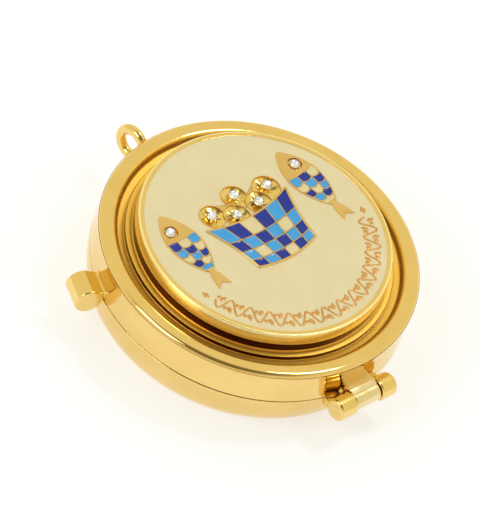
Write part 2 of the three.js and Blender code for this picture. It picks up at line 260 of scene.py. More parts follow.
def revolve(profile: np.ndarray, steps: int = ROUND_STEPS, loop: bool = False) -> Surface:
    """A profile of radius and height rows turned about the Z axis; loop for a ring clear of it."""
    radius, height = (np.repeat(profile[:, k:k + 1], steps, axis=1) for k in (0, 1))
    return turned_grid(radius, height, loop)


def spun(corners: list[Triple], steps: int = ROUND_STEPS, loop: bool = False) -> Surface:
    """A rounded profile turned about the Z axis; loop for a ring clear of it."""
    return revolve(rounded(corners, loop), steps, loop)


def rounded(corners: list[Triple], loop: bool = False, steps: int = 6) -> np.ndarray:
    """An outline with its corners rounded by true arcs.

    Each arc touches both sides at radius / tan(half the corner's angle) from the corner, and its
    middle lies on the corner's bisector. A point just before and after each arc keeps the flats flat.

    Args:
        corners: rows of x, y and the corner's radius, 0 for a sharp one.
        loop: True where the last corner is followed by the first.
        steps: segments in each arc.

    Returns:
        Rows of x and y.
    """
    xy = np.array([c[:2] for c in corners], float)
    count = len(corners)
    out = []
    for k, (here, (_, _, radius)) in enumerate(zip(xy, corners)):
        if radius <= 0 or not (loop or 0 < k < count - 1):
            out.append(here[None])
            continue
        back, on = xy[(k - 1) % count] - here, xy[(k + 1) % count] - here
        room = min(np.linalg.norm(back), np.linalg.norm(on))
        back, on = back / np.linalg.norm(back), on / np.linalg.norm(on)
        half = math.acos(float(np.clip(back @ on, -1, 1))) / 2
        reach = radius / math.tan(half)
        support = min(ARC_GUARD * radius, ROOM_GUARD * max(room - reach, 0))
        middle = here + (back + on) / np.linalg.norm(back + on) * radius / math.sin(half)
        start, end = here + back * reach - middle, here + on * reach - middle
        sweep = math.pi - 2 * half
        t = np.linspace(0, 1, steps + 1)[:, None]
        curve = middle + (np.sin((1 - t) * sweep) * start + np.sin(t * sweep) * end) / math.sin(sweep)
        before, behind = here + back * (reach + support), here + on * (reach + support)
        out.append(np.concatenate([before[None], curve, behind[None]]))
    return np.concatenate(out)


def unit(rows: np.ndarray) -> np.ndarray:
    """Each row scaled to a length of one."""
    return rows / np.maximum(np.linalg.norm(rows, axis=1, keepdims=True), TINY)


def inset(outline: np.ndarray, distance: float) -> np.ndarray:
    """A closed counter-clockwise outline moved inwards, each point along its two edges' mean normal.

    Args:
        outline: rows of x and y.
        distance: how far the edges move.

    Returns:
        The smaller outline.
    """
    edge = unit(np.roll(outline, -1, axis=0) - outline)
    normal = np.stack([-edge[:, 1], edge[:, 0]], axis=1)
    mean = unit(normal + np.roll(normal, 1, axis=0))
    return outline + mean * (distance / np.clip(np.sum(mean * normal, axis=1, keepdims=True), 0.5, 1))


def softened_bar(outline: np.ndarray, start: float, end: float, edge: float, steps: int = 5) -> Surface:
    """An outline of (x, z) carried along Y, its two rims rounded by a quarter circle.

    At angle q of the quarter circle the outline is drawn in by edge (1 - sin q) and lies
    edge (1 - cos q) from the bar's end.

    Args:
        outline: rows of x and z, counter-clockwise.
        start: Y where the bar begins.
        end: Y where it ends.
        edge: radius of the rounded rims.
        steps: segments in each rim.

    Returns:
        The closed surface.
    """
    q = np.linspace(0, np.pi / 2, steps + 1)
    drawn_in = np.concatenate([edge * (1 - np.sin(q)), edge * (1 - np.sin(q[::-1]))])
    place = np.concatenate([start + edge * (1 - np.cos(q)), end - edge * (1 - np.cos(q[::-1]))])
    layers = [np.insert(inset(outline, d), 1, y, axis=1) for d, y in zip(drawn_in, place)]
    count = len(outline)
    caps = [list(range(count)), [(len(layers) - 1) * count + k for k in reversed(range(count))]]
    quads = grid_quads(len(layers), count, wrap_columns=True)[:, ::-1]
    return Surface(np.concatenate(layers), quads, caps=caps).outward()


def closed_sheet(top: np.ndarray, bottom: float) -> Surface:
    """A grid of points closed by a flat copy of itself below and a wall round the edge.

    Args:
        top: rows by columns by 3 points of the upper face.
        bottom: height of the flat lower face.

    Returns:
        The closed surface.
    """
    rows, columns = top.shape[:2]
    under = top.copy()
    under[:, :, 2] = bottom
    size = rows * columns
    upper = grid_quads(rows, columns)
    number = np.arange(size).reshape(rows, columns)
    rim = np.concatenate([number[0, :-1], number[:-1, -1], number[-1, :0:-1], number[:0:-1, 0]])
    after = np.roll(rim, -1)
    wall = np.stack([rim, rim + size, after + size, after], axis=1)
    points = np.concatenate([top.reshape(-1, 3), under.reshape(-1, 3)])
    return Surface(points, np.concatenate([upper, upper[:, ::-1] + size, wall])).outward()


def ridge(path: np.ndarray, width: np.ndarray | float, low: float, high: float) -> Surface:
    """A low wall along a flat path, its top rounded over.

    Across the path at share c from -1 to 1 the wall stands low + (high - low) (1 - c^6), and its
    sides lie half the width either way along the path's normal.

    Args:
        path: rows of x and y.
        width: the wall's width, one number or one for each row.
        low: height of the wall's foot.
        high: height of its top.

    Returns:
        The closed surface.
    """
    run = unit(np.gradient(path, axis=0))
    normal = np.stack([-run[:, 1], run[:, 0]], axis=1)
    half = np.broadcast_to(np.asarray(width, float) / 2, len(path))[:, None, None]
    flat = path[:, None, :] + normal[:, None, :] * RIDGE_SHARES[None, :, None] * half
    rise = np.broadcast_to(low + (high - low) * (1 - RIDGE_SHARES**6), flat.shape[:2])
    return closed_sheet(np.concatenate([flat, rise[:, :, None]], axis=2), low - RIDGE_ROOT)


def enamel_pad(corner: CellMap, dip: float, steps: int) -> Surface:
    """A cell's enamel: level at its rim and sunk in the middle, as fired enamel shrinks.

    The cell is the unit square with its corners eased, a sqrt(1 - e b^2 / 2) by b sqrt(1 - e a^2 / 2),
    and the dip at (a, b) is the full dip times (1 - |a|^5) (1 - |b|^5).

    Args:
        corner: maps arrays a and b, each from -1 to 1, to x and y.
        dip: how far the middle is sunk.
        steps: points along each side.

    Returns:
        The closed surface.
    """
    share = np.linspace(-1, 1, steps)
    a, b = np.meshgrid(share, share, indexing="ij")
    x, y = corner(a * np.sqrt(1 - PAD_EASE * b**2 / 2), b * np.sqrt(1 - PAD_EASE * a**2 / 2))
    z = LEVELS.pad - dip * (1 - np.abs(a) ** 5) * (1 - np.abs(b) ** 5)
    return closed_sheet(np.stack([x, y, z], axis=2), LEVELS.ground - PAD_ROOT)


class Nodes:
    """A material's or a world's nodes, laid out as they are asked for."""

    def __init__(self, tree: bpy.types.NodeTree) -> None:
        """Takes the tree to work in."""
        self.tree = tree

    def feed(self, node: bpy.types.Node, inputs: dict[str | int, object]) -> None:
        """Gives each input of a node its constant, or the output that leads to it.

        Args:
            node: the node.
            inputs: a constant or an output for each input's name or number.
        """
        for key, value in inputs.items():
            if isinstance(value, Socket):
                self.tree.links.new(value, node.inputs[key])
            else:
                node.inputs[key].default_value = value

    def add(self, kind: str, inputs: dict[str | int, object], **settings: object) -> bpy.types.Node:
        """A new node.

        Args:
            kind: the node's type.
            inputs: a constant or an output for each input's name or number.
            settings: the node's own settings.

        Returns:
            The node.
        """
        node = self.tree.nodes.new(kind)
        for key, value in settings.items():
            setattr(node, key, value)
        self.feed(node, inputs)
        return node

    def place(self) -> Socket:
        """The piece's own Object coordinates, in metres."""
        return self.add("ShaderNodeTexCoord", {}).outputs["Object"]

    def turned_place(self) -> Socket:
        """The distance from the Z axis and the height, for marks that run round the box.

        Returns:
            The output of a vector of the two.
        """
        split = self.add("ShaderNodeSeparateXYZ", {0: self.place()}).outputs
        flat = self.add("ShaderNodeCombineXYZ", {"X": split["X"], "Y": split["Y"]}).outputs[0]
        length = self.add("ShaderNodeVectorMath", {0: flat}, operation="LENGTH").outputs["Value"]
        return self.add("ShaderNodeCombineXYZ", {"X": length, "Y": split["Z"]}).outputs[0]

    def noise(self, place: Socket, grain: Pair) -> Socket:
        """A noise value over a place, from its features to the metre and its detail."""
        inputs = {"Scale": grain[0], "Detail": grain[1], "Vector": place}
        return self.add("ShaderNodeTexNoise", inputs).outputs["Fac"]

    def spread(self, value: Socket, to: Pair, span: Pair = NOISE_MIDDLE, **settings: object) -> Socket:
        """A value carried from one range, a noise's middle unless said, onto another."""
        inputs = {"From Min": span[0], "From Max": span[1], "To Min": to[0], "To Max": to[1], "Value": value}
        return self.add("ShaderNodeMapRange", inputs, **settings).outputs["Result"]

    def ring(self, inner: float, outer: float) -> Socket:
        """A value of 1 in a ring round the Z axis, 0 away from it.

        Args:
            inner: the ring's inner radius, in millimetres.
            outer: its outer radius.

        Returns:
            The value's output.
        """
        radius = self.add("ShaderNodeSeparateXYZ", {0: self.turned_place()}).outputs["X"]
        spans = (((inner - RING_EDGE) * MM, inner * MM), ((outer + RING_EDGE) * MM, outer * MM))
        sides = {k: self.spread(radius, (0.0, 1.0), span) for k, span in enumerate(spans)}
        return self.add("ShaderNodeMath", sides, operation="MULTIPLY").outputs["Value"]

    def ramp(self, value: Socket, low: Triple, high: Triple, ends: Pair = NOISE_MIDDLE) -> Socket:
        """A colour between two, looked up from a value.

        Args:
            value: the value.
            low: the colour up to the first end.
            high: the colour from the second end on.
            ends: the values where the two colours are reached.

        Returns:
            The colour's output.
        """
        node = self.add("ShaderNodeValToRGB", {"Fac": value})
        for stop, position, colour in zip(node.color_ramp.elements, ends, (low, high)):
            stop.position = position
            stop.color = (*colour, 1)
        return node.outputs["Color"]


@dataclass(frozen=True)
class Finish:
    """A finish whose tint, gloss and relief each follow a noise.

    Gloss is the least and the most roughness, two equal ones for an even gloss. Relief is a depth in
    millimetres. A grain is features to the metre and detail. Sockets are the shader's constants.
    """

    name: str
    light: Triple
    deep: Triple
    gloss: Pair
    relief: float = 0.0
    slot: Slot = Slot.CRYSTAL
    tint_grain: Pair = (800, 2)
    wear_grain: Pair = (800, 2)
    relief_grain: Pair = (500, 2)
    strength: float = 0.4
    sockets: tuple[tuple[str, object], ...] = ()

    def wear_place(self, nodes: Nodes) -> Socket:
        """Where the wear and the relief are read."""
        return nodes.place()

    def toned(self, nodes: Nodes, inputs: dict[str, object]) -> dict[str, object]:
        """The shader's inputs with any last change of tone."""
        return inputs

    def material(self) -> bpy.types.Material:
        """The finish as a new material.

        Returns:
            The material.
        """
        material = bpy.data.materials.new(self.name)
        material.use_nodes = True
        nodes = Nodes(material.node_tree)
        place = self.wear_place(nodes)
        inputs = {
            "Base Color": nodes.ramp(nodes.noise(nodes.place(), self.tint_grain), self.deep, self.light),
            "Roughness": self.gloss[0],
            **dict(self.sockets),
        }
        if self.gloss[0] < self.gloss[1]:
            inputs["Roughness"] = nodes.spread(nodes.noise(place, self.wear_grain), self.gloss)
        if self.relief:
            height = nodes.noise(place, self.relief_grain)
            bump = {"Distance": self.relief * MM, "Strength": self.strength, "Height": height}
            inputs["Normal"] = nodes.add("ShaderNodeBump", bump).outputs["Normal"]
        nodes.feed(nodes.tree.nodes["Principled BSDF"], self.toned(nodes, inputs))
        return material


@dataclass(frozen=True)
class GoldFinish(Finish):
    """Gold plate over brass. Lathe marks run round the box where lathed is set.

    satin holds two distances from the axis in millimetres and the roughness added between them; the
    tint laid over that ring is a painted reflection, standing for the light that the gold there reflects.
    pooled is the deeper tint there, where the buff does not reach.
    """

    slot: Slot = Slot.GOLD
    tint_grain: Pair = (160, 3)
    wear_grain: Pair = (420, 4)
    relief_grain: Pair = (700, 5)
    strength: float = 0.5
    sockets: tuple[tuple[str, object], ...] = (("Metallic", 1.0),)
    lathed: bool = False
    satin: tuple[float, ...] = ()
    # The ring's painted reflection tint: by default a deeper orange for light bouncing between gold walls.
    painted_reflection_tint: Triple = (1.0, 0.63, 0.13)

    def wear_place(self, nodes: Nodes) -> Socket:
        """Where the wear and the relief are read: round the box or over the piece."""
        return nodes.turned_place() if self.lathed else nodes.place()

    def toned(self, nodes: Nodes, inputs: dict[str, object]) -> dict[str, object]:
        """The shader's inputs, rougher in the satin ring and with the painted reflection tint there.

        Args:
            nodes: the material's nodes.
            inputs: the shader's inputs so far.

        Returns:
            The inputs to use.
        """
        if not self.satin:
            return inputs
        inner, outer, more = self.satin
        within = nodes.ring(inner, outer)
        matt = {0: within, 1: more, 2: inputs["Roughness"]}
        # Painted reflection: in the ring the base colour blends to the tint.
        tint = {0: within, 6: inputs["Base Color"], 7: (*self.painted_reflection_tint, 1)}
        return inputs | {
            "Roughness": nodes.add("ShaderNodeMath", matt, operation="MULTIPLY_ADD").outputs["Value"],
            "Base Color": nodes.add("ShaderNodeMix", tint, data_type="RGBA").outputs[2],
        }


@dataclass(frozen=True)
class EnamelFinish(Finish):
    """Fired enamel: an even colour with faint clouding under a clear gloss."""

    gloss: Pair = (0.098, 0.182)
    relief: float = 0.012
    tint_grain: Pair = (260, 4)
    wear_grain: Pair = (900, 3)
    sockets: tuple[tuple[str, object], ...] = (("IOR", 1.38), ("Coat Weight", 0.05), ("Coat Roughness", 0.04))


GOLD_TONES = ((0.88, 0.645, 0.25), (0.84, 0.60, 0.21))
POLISHED = GoldFinish("polished_gold", *GOLD_TONES, (0.05, 0.10), 0.004, lathed=True)
# Over the tread, the moat and the shelf's inner edge the lid is satin and carries a painted reflection: a
# deeper orange for light bouncing in the recess.
SPUN_GOLD = GoldFinish("spun_gold", *GOLD_TONES, (0.05, 0.10), 0.006, lathed=True, satin=(21.3, 24.4, 0.40))
# On the plate's outer edge a paler yellow tint is a painted reflection of the bright light it faces.
RIM_GOLD = GoldFinish(
    "rim_gold", *GOLD_TONES, (0.06, 0.11), 0.005, lathed=True,
    satin=(21.0, 21.5, 0.18), painted_reflection_tint=(1.0, 0.86, 0.44),
)
# Painted shade: near black gold for the recess's upright walls, standing in for the dark that they reflect.
PAINTED_SHADE_GOLD = GoldFinish(
    "painted_shade_gold", (0.075, 0.020, 0.003), (0.045, 0.010, 0.001), (0.16, 0.28), 0.008, lathed=True
)
BURNISHED = GoldFinish("burnished_gold", (0.91, 0.69, 0.25), (0.84, 0.60, 0.18), (0.12, 0.20), 0.010)
FITTING_GOLD = GoldFinish("fitting_gold", (0.885, 0.66, 0.25), (0.85, 0.61, 0.21), (0.11, 0.18), 0.005)
PALE_GOLD = GoldFinish("pale_gold", (0.87, 0.73, 0.44), (0.80, 0.64, 0.35), (0.12, 0.24), 0.012)
FIGURE_GOLD = GoldFinish("figure_gold", (0.80, 0.56, 0.22), (0.74, 0.49, 0.17), (0.15, 0.22), 0.008)
STROKE_GOLD = GoldFinish("stroke_gold", (0.70, 0.41, 0.17), (0.58, 0.32, 0.11), (0.30, 0.42), 0.010)
CREAM = EnamelFinish("cream_enamel", (0.84, 0.765, 0.54), (0.81, 0.725, 0.49), slot=Slot.CREAM)
DARK_BLUE = EnamelFinish("dark_blue_enamel", (0.014, 0.042, 0.42), (0.006, 0.028, 0.34), slot=Slot.DARK_BLUE)
LIGHT_BLUE = EnamelFinish("light_blue_enamel", (0.075, 0.44, 1.0), (0.050, 0.38, 0.94), slot=Slot.LIGHT_BLUE)
CELL_CREAM = EnamelFinish("cell_cream_enamel", (0.84, 0.75, 0.48), (0.78, 0.68, 0.42), slot=Slot.CREAM)
CRYSTAL = Finish(
    "cut_crystal", (1.0, 1.0, 1.0), (0.93, 0.95, 0.98), (0.0, 0.02),
    sockets=(("Transmission Weight", 1.0), ("IOR", 1.7)),
)
# The foil's faint glow stands in for the light trapped in a cut stone.
FOIL = Finish(
    "stone_foil", (0.97, 0.97, 0.98), (0.80, 0.79, 0.80), (0.06, 0.16),
    tint_grain=(1200, 3), wear_grain=(1200, 3),
    sockets=(("Metallic", 1.0), ("Emission Color", (0.75, 0.85, 1.0, 1)), ("Emission Strength", 0.45)),
)
# The floor is pale, plain and lit a little from below.
PAPER = Finish(
    "pale_paper", (0.52, 0.54, 0.60), (0.5174, 0.5373, 0.597), (0.9, 0.9), tint_grain=(6, 2),
    sockets=(("Emission Color", (1, 1, 1, 1)), ("Emission Strength", 0.58)),
)

FINISH_CACHE: dict[str, bpy.types.Material] = {}


def dressed(finish: Finish) -> bpy.types.Material:
    """The material of a finish, made once and shared.

    Args:
        finish: the finish.

    Returns:
        Its material.
    """
    if finish.name not in FINISH_CACHE:
        FINISH_CACHE[finish.name] = finish.material()
    return FINISH_CACHE[finish.name]


def shown(name: str, data: bpy.types.ID) -> bpy.types.Object:
    """A new object of the scene.

    Args:
        name: the object's name.
        data: the mesh, curve, light or camera that it holds.

    Returns:
        The object.
    """
    obj = bpy.data.objects.new(name, data)
    bpy.context.scene.collection.objects.link(obj)
    return obj


@dataclass
class Piece:
    """What a finished surface is called, wears, stands for and rides on."""

    name: str
    finish: Finish
    stands_for: tuple[str, ...] = ()
    body: Body = Body.LID
    sharp: float = 40.0

    @property
    def slot(self) -> Slot:
        """The record's slot, which is the finish's own."""
        return self.finish.slot

    def make(self, surface: Surface) -> None:
        """A surface as the piece's object.

        Args:
            surface: the surface, in millimetres.
        """
        mesh = bpy.data.meshes.new(self.name)
        faces = [*surface.quads.tolist(), *surface.triangles.tolist(), *surface.caps]
        mesh.from_pydata((surface.points * MM).tolist(), [], faces)
        self.take(mesh)

    def take(self, mesh: bpy.types.Mesh) -> None:
        """A mesh already in metres as the piece's object, on its body and with its finish.

        Args:
            mesh: the finished mesh.
        """
        mesh.update()
        mesh.shade_smooth()
        mesh.set_sharp_from_angle(angle=math.radians(self.sharp))
        mesh.materials.append(dressed(self.finish))
        obj = shown(self.name, mesh)
        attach(obj, self.body.value)
        self.slot.value
        if self.stands_for:
            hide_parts(*self.stands_for)
        LOG.info("%s: %d faces on %s", self.name, len(mesh.polygons), self.body.value)


@dataclass
class BaseBody:
    """The round pan and the collar that stands in it."""

    curve_run: float = 3.1
    wall_band: float = 0.8
    floor: float = 1.2
    ledge: float = 3.5
    well_fillet: float = 1.5
    rim_round: float = 0.12
    collar_thickness: float = 1.0
    collar_clearance: float = 0.1
    edge: float = 0.05
    curve_steps: int = 48
    flat_guard: Pair = (1.5, 0.2)

    def __post_init__(self) -> None:
        """Reads the outer sizes from the frame."""
        self.radius, _, self.height = cad_high("base_shell")
        self.collar_outer, _, self.collar_top = cad_high("base_collar")
        self.well = self.collar_outer - self.collar_thickness

    def pan(self) -> Surface:
        """The pan: a quarter ellipse from the flat underside up to the wall, then the rim and the well.

        On the ellipse, radius = foot + run sin q and height = top (1 - cos q) for q from 0 to 90 degrees.

        Returns:
            The closed surface.
        """
        foot = self.radius - self.curve_run
        q = np.linspace(0, np.pi / 2, self.curve_steps)
        side = np.stack([foot + self.curve_run * np.sin(q), self.height * (1 - np.cos(q))], axis=1)
        bore = self.collar_outer + self.collar_clearance
        inside = rounded([
            (self.radius, self.height - self.wall_band, 0),
            (self.radius, self.height, self.rim_round),
            (bore, self.height, self.rim_round),
            (bore, self.ledge, self.edge),
            (self.well, self.ledge, self.edge),
            (self.well, self.floor, self.well_fillet),
            (0, self.floor, 0),
        ], steps=8)
        below = side[side[:, 1] < self.height - self.wall_band - self.edge]
        flat = [[0, 0], *([foot - guard, 0] for guard in self.flat_guard)]
        return revolve(np.concatenate([flat, below, inside]))

    def collar(self) -> Surface:
        """The collar: a thin upright ring with eased edges.

        Returns:
            The closed surface.
        """
        return spun([
            (self.well, self.ledge, self.edge),
            (self.collar_outer, self.ledge, self.edge),
            (self.collar_outer, self.collar_top, 0.3),
            (self.well, self.collar_top, 0.2),
        ], loop=True)

    def build(self) -> None:
        """Makes and dresses the pan and the collar."""
        Piece("base_pan", POLISHED, ("base_shell",), Body.BASE).make(self.pan())
        Piece("guide_collar", POLISHED, ("base_collar",), Body.BASE).make(self.collar())


@dataclass
class LidBody:
    """The spun lid: wall, rolled rim, shelf, moat, step, tread and plateau."""

    rim_height: float = 5.65
    rim_roll: float = 0.85
    rim_above_shelf: float = 0.47
    shelf_width: float = 3.24
    shelf_above_rim: float = 0.45
    shelf_round: float = 0.95
    shelf_slope: float = 0.1
    moat_width: float = 1.32
    moat_depth: float = 0.9
    moat_slope: float = 0.25
    moat_rise: float = 0.05
    step_height: float = 0.95
    tread_width: float = 1.18
    tread_crown: Triple = (-0.06, 0.03, -0.04)
    wall_slack: float = 0.09
    wall_join: Pair = (3.0, 4.0)
    brim_run: float = 1.1
    brim_round: float = 4.0
    roof: float = 1.2
    ceiling_drop: float = 2.1
    collar_gap: float = 0.2
    # skin is half the thickness of the painted shade skins; the two bands shift their lower and upper edges.
    skin: float = 0.02
    lower_band: Pair = (0.16, -0.08)
    upper_band: Pair = (0.2, 0.08)

    def __post_init__(self) -> None:
        """Reads the outer sizes from the frame and works out the shelf, the moat and the steps."""
        self.bottom = cad_low("lid_shell")[2]
        self.rim, _, self.top = cad_high("lid_shell")
        self.brim_z = self.bottom + self.rim_height
        self.shelf_in = self.rim - self.shelf_width
        self.shelf_z = self.brim_z + self.shelf_above_rim
        self.step = self.shelf_in - self.moat_width
        self.moat_z = self.shelf_z - self.moat_depth
        self.tread_z = self.moat_z + self.step_height
        self.plateau = self.step - self.tread_width

    def cover(self) -> Surface:
        """The lid's profile turned about the axis: its inside, then its outside from the wall in.

        Returns:
            The closed surface.
        """
        wall = cad_high("base_shell")[0]
        bore = cad_high("base_collar")[0] + self.collar_gap
        brim = self.rim - self.wall_slack
        rim_z = self.shelf_z + self.rim_above_shelf
        ceiling = self.shelf_z - self.ceiling_drop
        inner = self.plateau - self.roof
        outer_edge, middle, inner_edge = self.tread_crown
        inside = rounded([
            (0, self.top - self.roof, 0),
            (inner, self.top - self.roof, 0.5),
            (inner, ceiling, 0.4),
            (bore, ceiling, 0.8),
            (bore, self.bottom, 0.1),
            (wall, self.bottom, 0.12),
            (wall, self.bottom + self.wall_join[0], 0),
        ])
        outside = rounded([
            (wall, self.bottom + self.wall_join[1], 0),
            (wall, self.brim_z - self.brim_run, self.brim_round),
            (brim, self.brim_z, self.brim_round),
            (brim, rim_z, self.rim_roll),
            (self.shelf_in + self.shelf_slope, rim_z, self.shelf_round),
            (self.shelf_in + self.shelf_slope, self.moat_z + self.moat_slope, 0.4),
            (self.step, self.moat_z + self.moat_rise, 0.08),
            (self.step, self.tread_z + outer_edge, 0.1),
            (self.step - self.tread_width / 2, self.tread_z + middle, 1.5),
            (self.plateau, self.tread_z + inner_edge, 0.05),
            (self.plateau, self.top, 0.05),
            (0, self.top, 0),
        ])
        return revolve(np.concatenate([inside, outside]))

    def painted_shade_skin(self, radius: float, low: float, high: float) -> Surface:
        """A skin over one recessed wall, painted near black as painted shade for the dark that the wall
        reflects.

        Args:
            radius: the wall's radius.
            low: height of the skin's lower edge.
            high: height of its upper edge.

        Returns:
            The band as a closed ring.
        """
        inner, outer = radius - self.skin, radius + self.skin
        return spun([(inner, low, 0), (outer, low, 0.01), (outer, high, 0.01), (inner, high, 0)], loop=True)

    def build(self) -> None:
        """Makes and dresses the lid."""
        Piece("lid_cover", SPUN_GOLD, ("lid_shell",)).make(self.cover())
        # The step's and the plateau's walls get near black skins: painted shade for the dark that they
        # reflect.
        walls = (
            (self.step, self.moat_z, self.tread_z, self.lower_band),
            (self.plateau, self.tread_z, self.top, self.upper_band),
        )
        bands = [self.painted_shade_skin(r, low + up, high + over) for r, low, high, (up, over) in walls]
        Piece("painted_shade_bands", PAINTED_SHADE_GOLD).make(Surface.joined(bands))


@dataclass
class Hinge:
    """Three knuckles on one pin: the outer two on the base, the middle one on the lid."""

    angle: float = -90.0
    outer_radius: float = 2.0
    middle_radius: float = 1.65
    length: float = 12.5
    middle_length: float = 5.3
    gap: float = 0.15
    shoulder: float = 0.5
    far_shoulder: float = 0.9
    inner_edge: float = 0.25
    bar_edge: float = 0.12
    pin_radius: float = 0.6
    bore_clearance: float = 0.08
    end_wall: float = 0.8
    foot_depth: float = 1.8
    foot_root: float = 1.0
    foot_toe: Pair = (0.9, 0.3)
    leaf_root: float = 0.8
    leaf_lift: float = 0.25
    leaf_over: float = 0.2
    steps: int = 64

    def __post_init__(self) -> None:
        """Reads the axis and the parting line from the frame."""
        _, y, z = frame["joints"][0]["pos_m"]
        self.axis_radius, self.axis_height = -y / MM, z / MM
        self.wall, _, self.base_top = cad_high("base_shell")
        self.lid_bottom = cad_low("lid_shell")[2]
        self.bore = self.pin_radius + self.bore_clearance

    def at_axis(self, corners: list[Triple], loop: bool = False) -> Surface:
        """A rounded profile turned and laid about the hinge's axis."""
        lying = spun(corners, self.steps, loop).laid_down()
        return lying.moved(self.axis_radius, 0, self.axis_height)

    def outer(self, side: Side) -> Surface:
        """An outer knuckle: a barrel with a rounded outer shoulder, its bore, and its foot on the base.

        Args:
            side: which end of the hinge.

        Returns:
            The surface in place.
        """
        near, far = self.middle_length / 2 + self.gap, self.length / 2
        shoulder = self.shoulder if side is Side.LEFT else self.far_shoulder
        knuckle = self.at_axis([
            (0, far - self.end_wall, 0),
            (self.bore, far - self.end_wall, 0.1),
            (self.bore, near, 0.05),
            (self.outer_radius, near, self.inner_edge),
            (self.outer_radius, far, shoulder),
            (0, far, 0),
        ])
        top, low = self.base_top - self.gap, self.axis_height - self.foot_depth
        foot = rounded([
            (self.wall - self.foot_root, low, 0),
            (self.axis_radius - self.foot_toe[0], low, 0.2),
            (self.axis_radius - self.foot_toe[1], top, 0.12),
            (self.wall - self.foot_root, top, 0),
        ], loop=True)
        both = Surface.joined([knuckle, softened_bar(foot, near, far - shoulder, self.bar_edge)])
        return (both.mirrored() if side is Side.LEFT else both).turned(self.angle)

    def middle(self) -> Surface:
        """The lid's knuckle: a short tube with a flat-topped leaf running to the lid's wall.

        Returns:
            The surface in place.
        """
        half = self.middle_length / 2
        tube = self.at_axis([
            (self.bore, -half, 0.05),
            (self.middle_radius, -half, self.inner_edge),
            (self.middle_radius, half, self.inner_edge),
            (self.bore, half, 0.05),
        ], loop=True)
        top = self.axis_height + self.foot_depth + self.leaf_over
        low = self.lid_bottom + self.leaf_lift
        leaf = rounded([
            (self.wall - self.leaf_root, low, 0),
            (self.axis_radius - self.bore - self.leaf_lift, low, 0.1),
            (self.axis_radius - 0.45, self.axis_height + self.bore + self.leaf_over, 0.1),
            (self.axis_radius + 0.1, self.axis_height + self.middle_radius - 0.02, 0.2),
            (self.axis_radius - 0.9, top - 0.05, 0.4),
            (self.wall - self.leaf_root, top, 0),
        ], loop=True)
        return Surface.joined([tube, softened_bar(leaf, -half, half, self.bar_edge)]).turned(self.angle)

    def pin(self) -> Surface:
        """The pin through the three knuckles.

        Returns:
            The surface in place.
        """
        end, radius = self.length / 2 - self.end_wall - self.bore_clearance, self.pin_radius
        corners = [(0, -end, 0), (radius, -end, 0.1), (radius, end, 0.1), (0, end, 0)]
        return self.at_axis(corners).turned(self.angle)

    def build(self) -> None:
        """Makes and dresses the knuckles and the pin."""
        for side in Side:
            name = side.name.lower()
            piece = Piece(f"knuckle_{name}", FITTING_GOLD, (f"hinge_knuckle_{name}",), Body.BASE)
            piece.make(self.outer(side))
        Piece("knuckle_middle", PALE_GOLD, ("hinge_knuckle_middle",)).make(self.middle())
        Piece("pin", FITTING_GOLD, ("hinge_pin",), Body.BASE).make(self.pin())


@dataclass
class ThumbCatch:
    """The catch: a barrel along the wall and a dished leaf, in one bar."""

    angle: float = 159.1
    radius: float = 2.4
    length: float = 4.9
    height: float = 7.0
    gap: float = 0.14
    edge: float = 0.3
    fall: float = 0.6
    fillet: float = 0.4
    shoulder: float = 104.0
    lift: float = 0.25
    root: float = 0.7

    def outline(self) -> np.ndarray:
        """The bar's section: the barrel's circle, then a leaf that falls to the wall.

        Along the leaf at share t the height falls from the barrel's shoulder by the fall times sin(pi t / 2),
        and over the last fifth it turns up by the fillet times the square of the share of that fifth.

        Returns:
            Rows of x and z, counter-clockwise.
        """
        wall = cad_high("base_shell")[0]
        centre = wall + self.gap + self.radius
        low = cad_low("lid_shell")[2] + self.lift
        start = math.pi - math.asin((low - self.height) / self.radius)
        q = np.linspace(start, 2 * math.pi + math.radians(self.shoulder), 72)
        circle = np.stack([centre + self.radius * np.cos(q), self.height + self.radius * np.sin(q)], axis=1)
        x, z = circle[-1]
        t = np.linspace(0, 1, 31)[1:]
        rise = self.fillet * np.clip(5 * t - 4, 0, 1) ** 2
        leaf = np.stack([x + (wall - x) * t, z - self.fall * np.sin(np.pi / 2 * t) + rise], axis=1)
        back = wall - self.root
        return np.concatenate([[[back, low]], circle, leaf, [[back, leaf[-1, 1]]]])

    def build(self) -> None:
        """Makes and dresses the catch."""
        bar = softened_bar(self.outline(), -self.length / 2, self.length / 2, self.edge, steps=7)
        Piece("catch", FITTING_GOLD, ("thumb_catch",), sharp=50).make(bar.turned(self.angle))


@dataclass
class CordRing:
    """The wire ring, its hole along the wall, with the seam where the wire closes."""

    angle: float = 92.8
    radius: float = 2.5
    wire: float = 1.7
    height: float = 9.25
    gap: float = 0.2
    seam_at: float = 200.0
    seam_depth: float = 0.06
    seam_width: float = 2.0
    around: int = 120
    across: int = 40

    def loop(self) -> Surface:
        """A torus whose wire draws in at the seam.

        The wire's radius is its full size less the seam's depth times
        exp(-(angle off the seam / its width)^2), both angles in degrees.

        Returns:
            The closed surface.
        """
        centre = cad_high("base_shell")[0] + self.gap + self.radius
        u = np.linspace(0, 360, self.around, endpoint=False)
        v = 2 * np.pi * np.arange(self.across) / self.across
        wire = self.wire / 2 - self.seam_depth * np.exp(-(((u - self.seam_at) / self.seam_width) ** 2))
        u = np.radians(u)[:, None]
        reach = self.radius + wire[:, None] * np.cos(v)
        x, z = centre + reach * np.cos(u), self.height + reach * np.sin(u)
        y = np.broadcast_to(wire[:, None] * np.sin(v), x.shape)
        points = np.stack([x, y, z], axis=2).reshape(-1, 3)
        quads = grid_quads(self.around, self.across, wrap_rows=True, wrap_columns=True)
        return Surface(points, quads).outward()

    def build(self) -> None:
        """Makes and dresses the ring."""
        Piece("ring", FITTING_GOLD, ("cord_ring",)).make(self.loop().turned(self.angle))


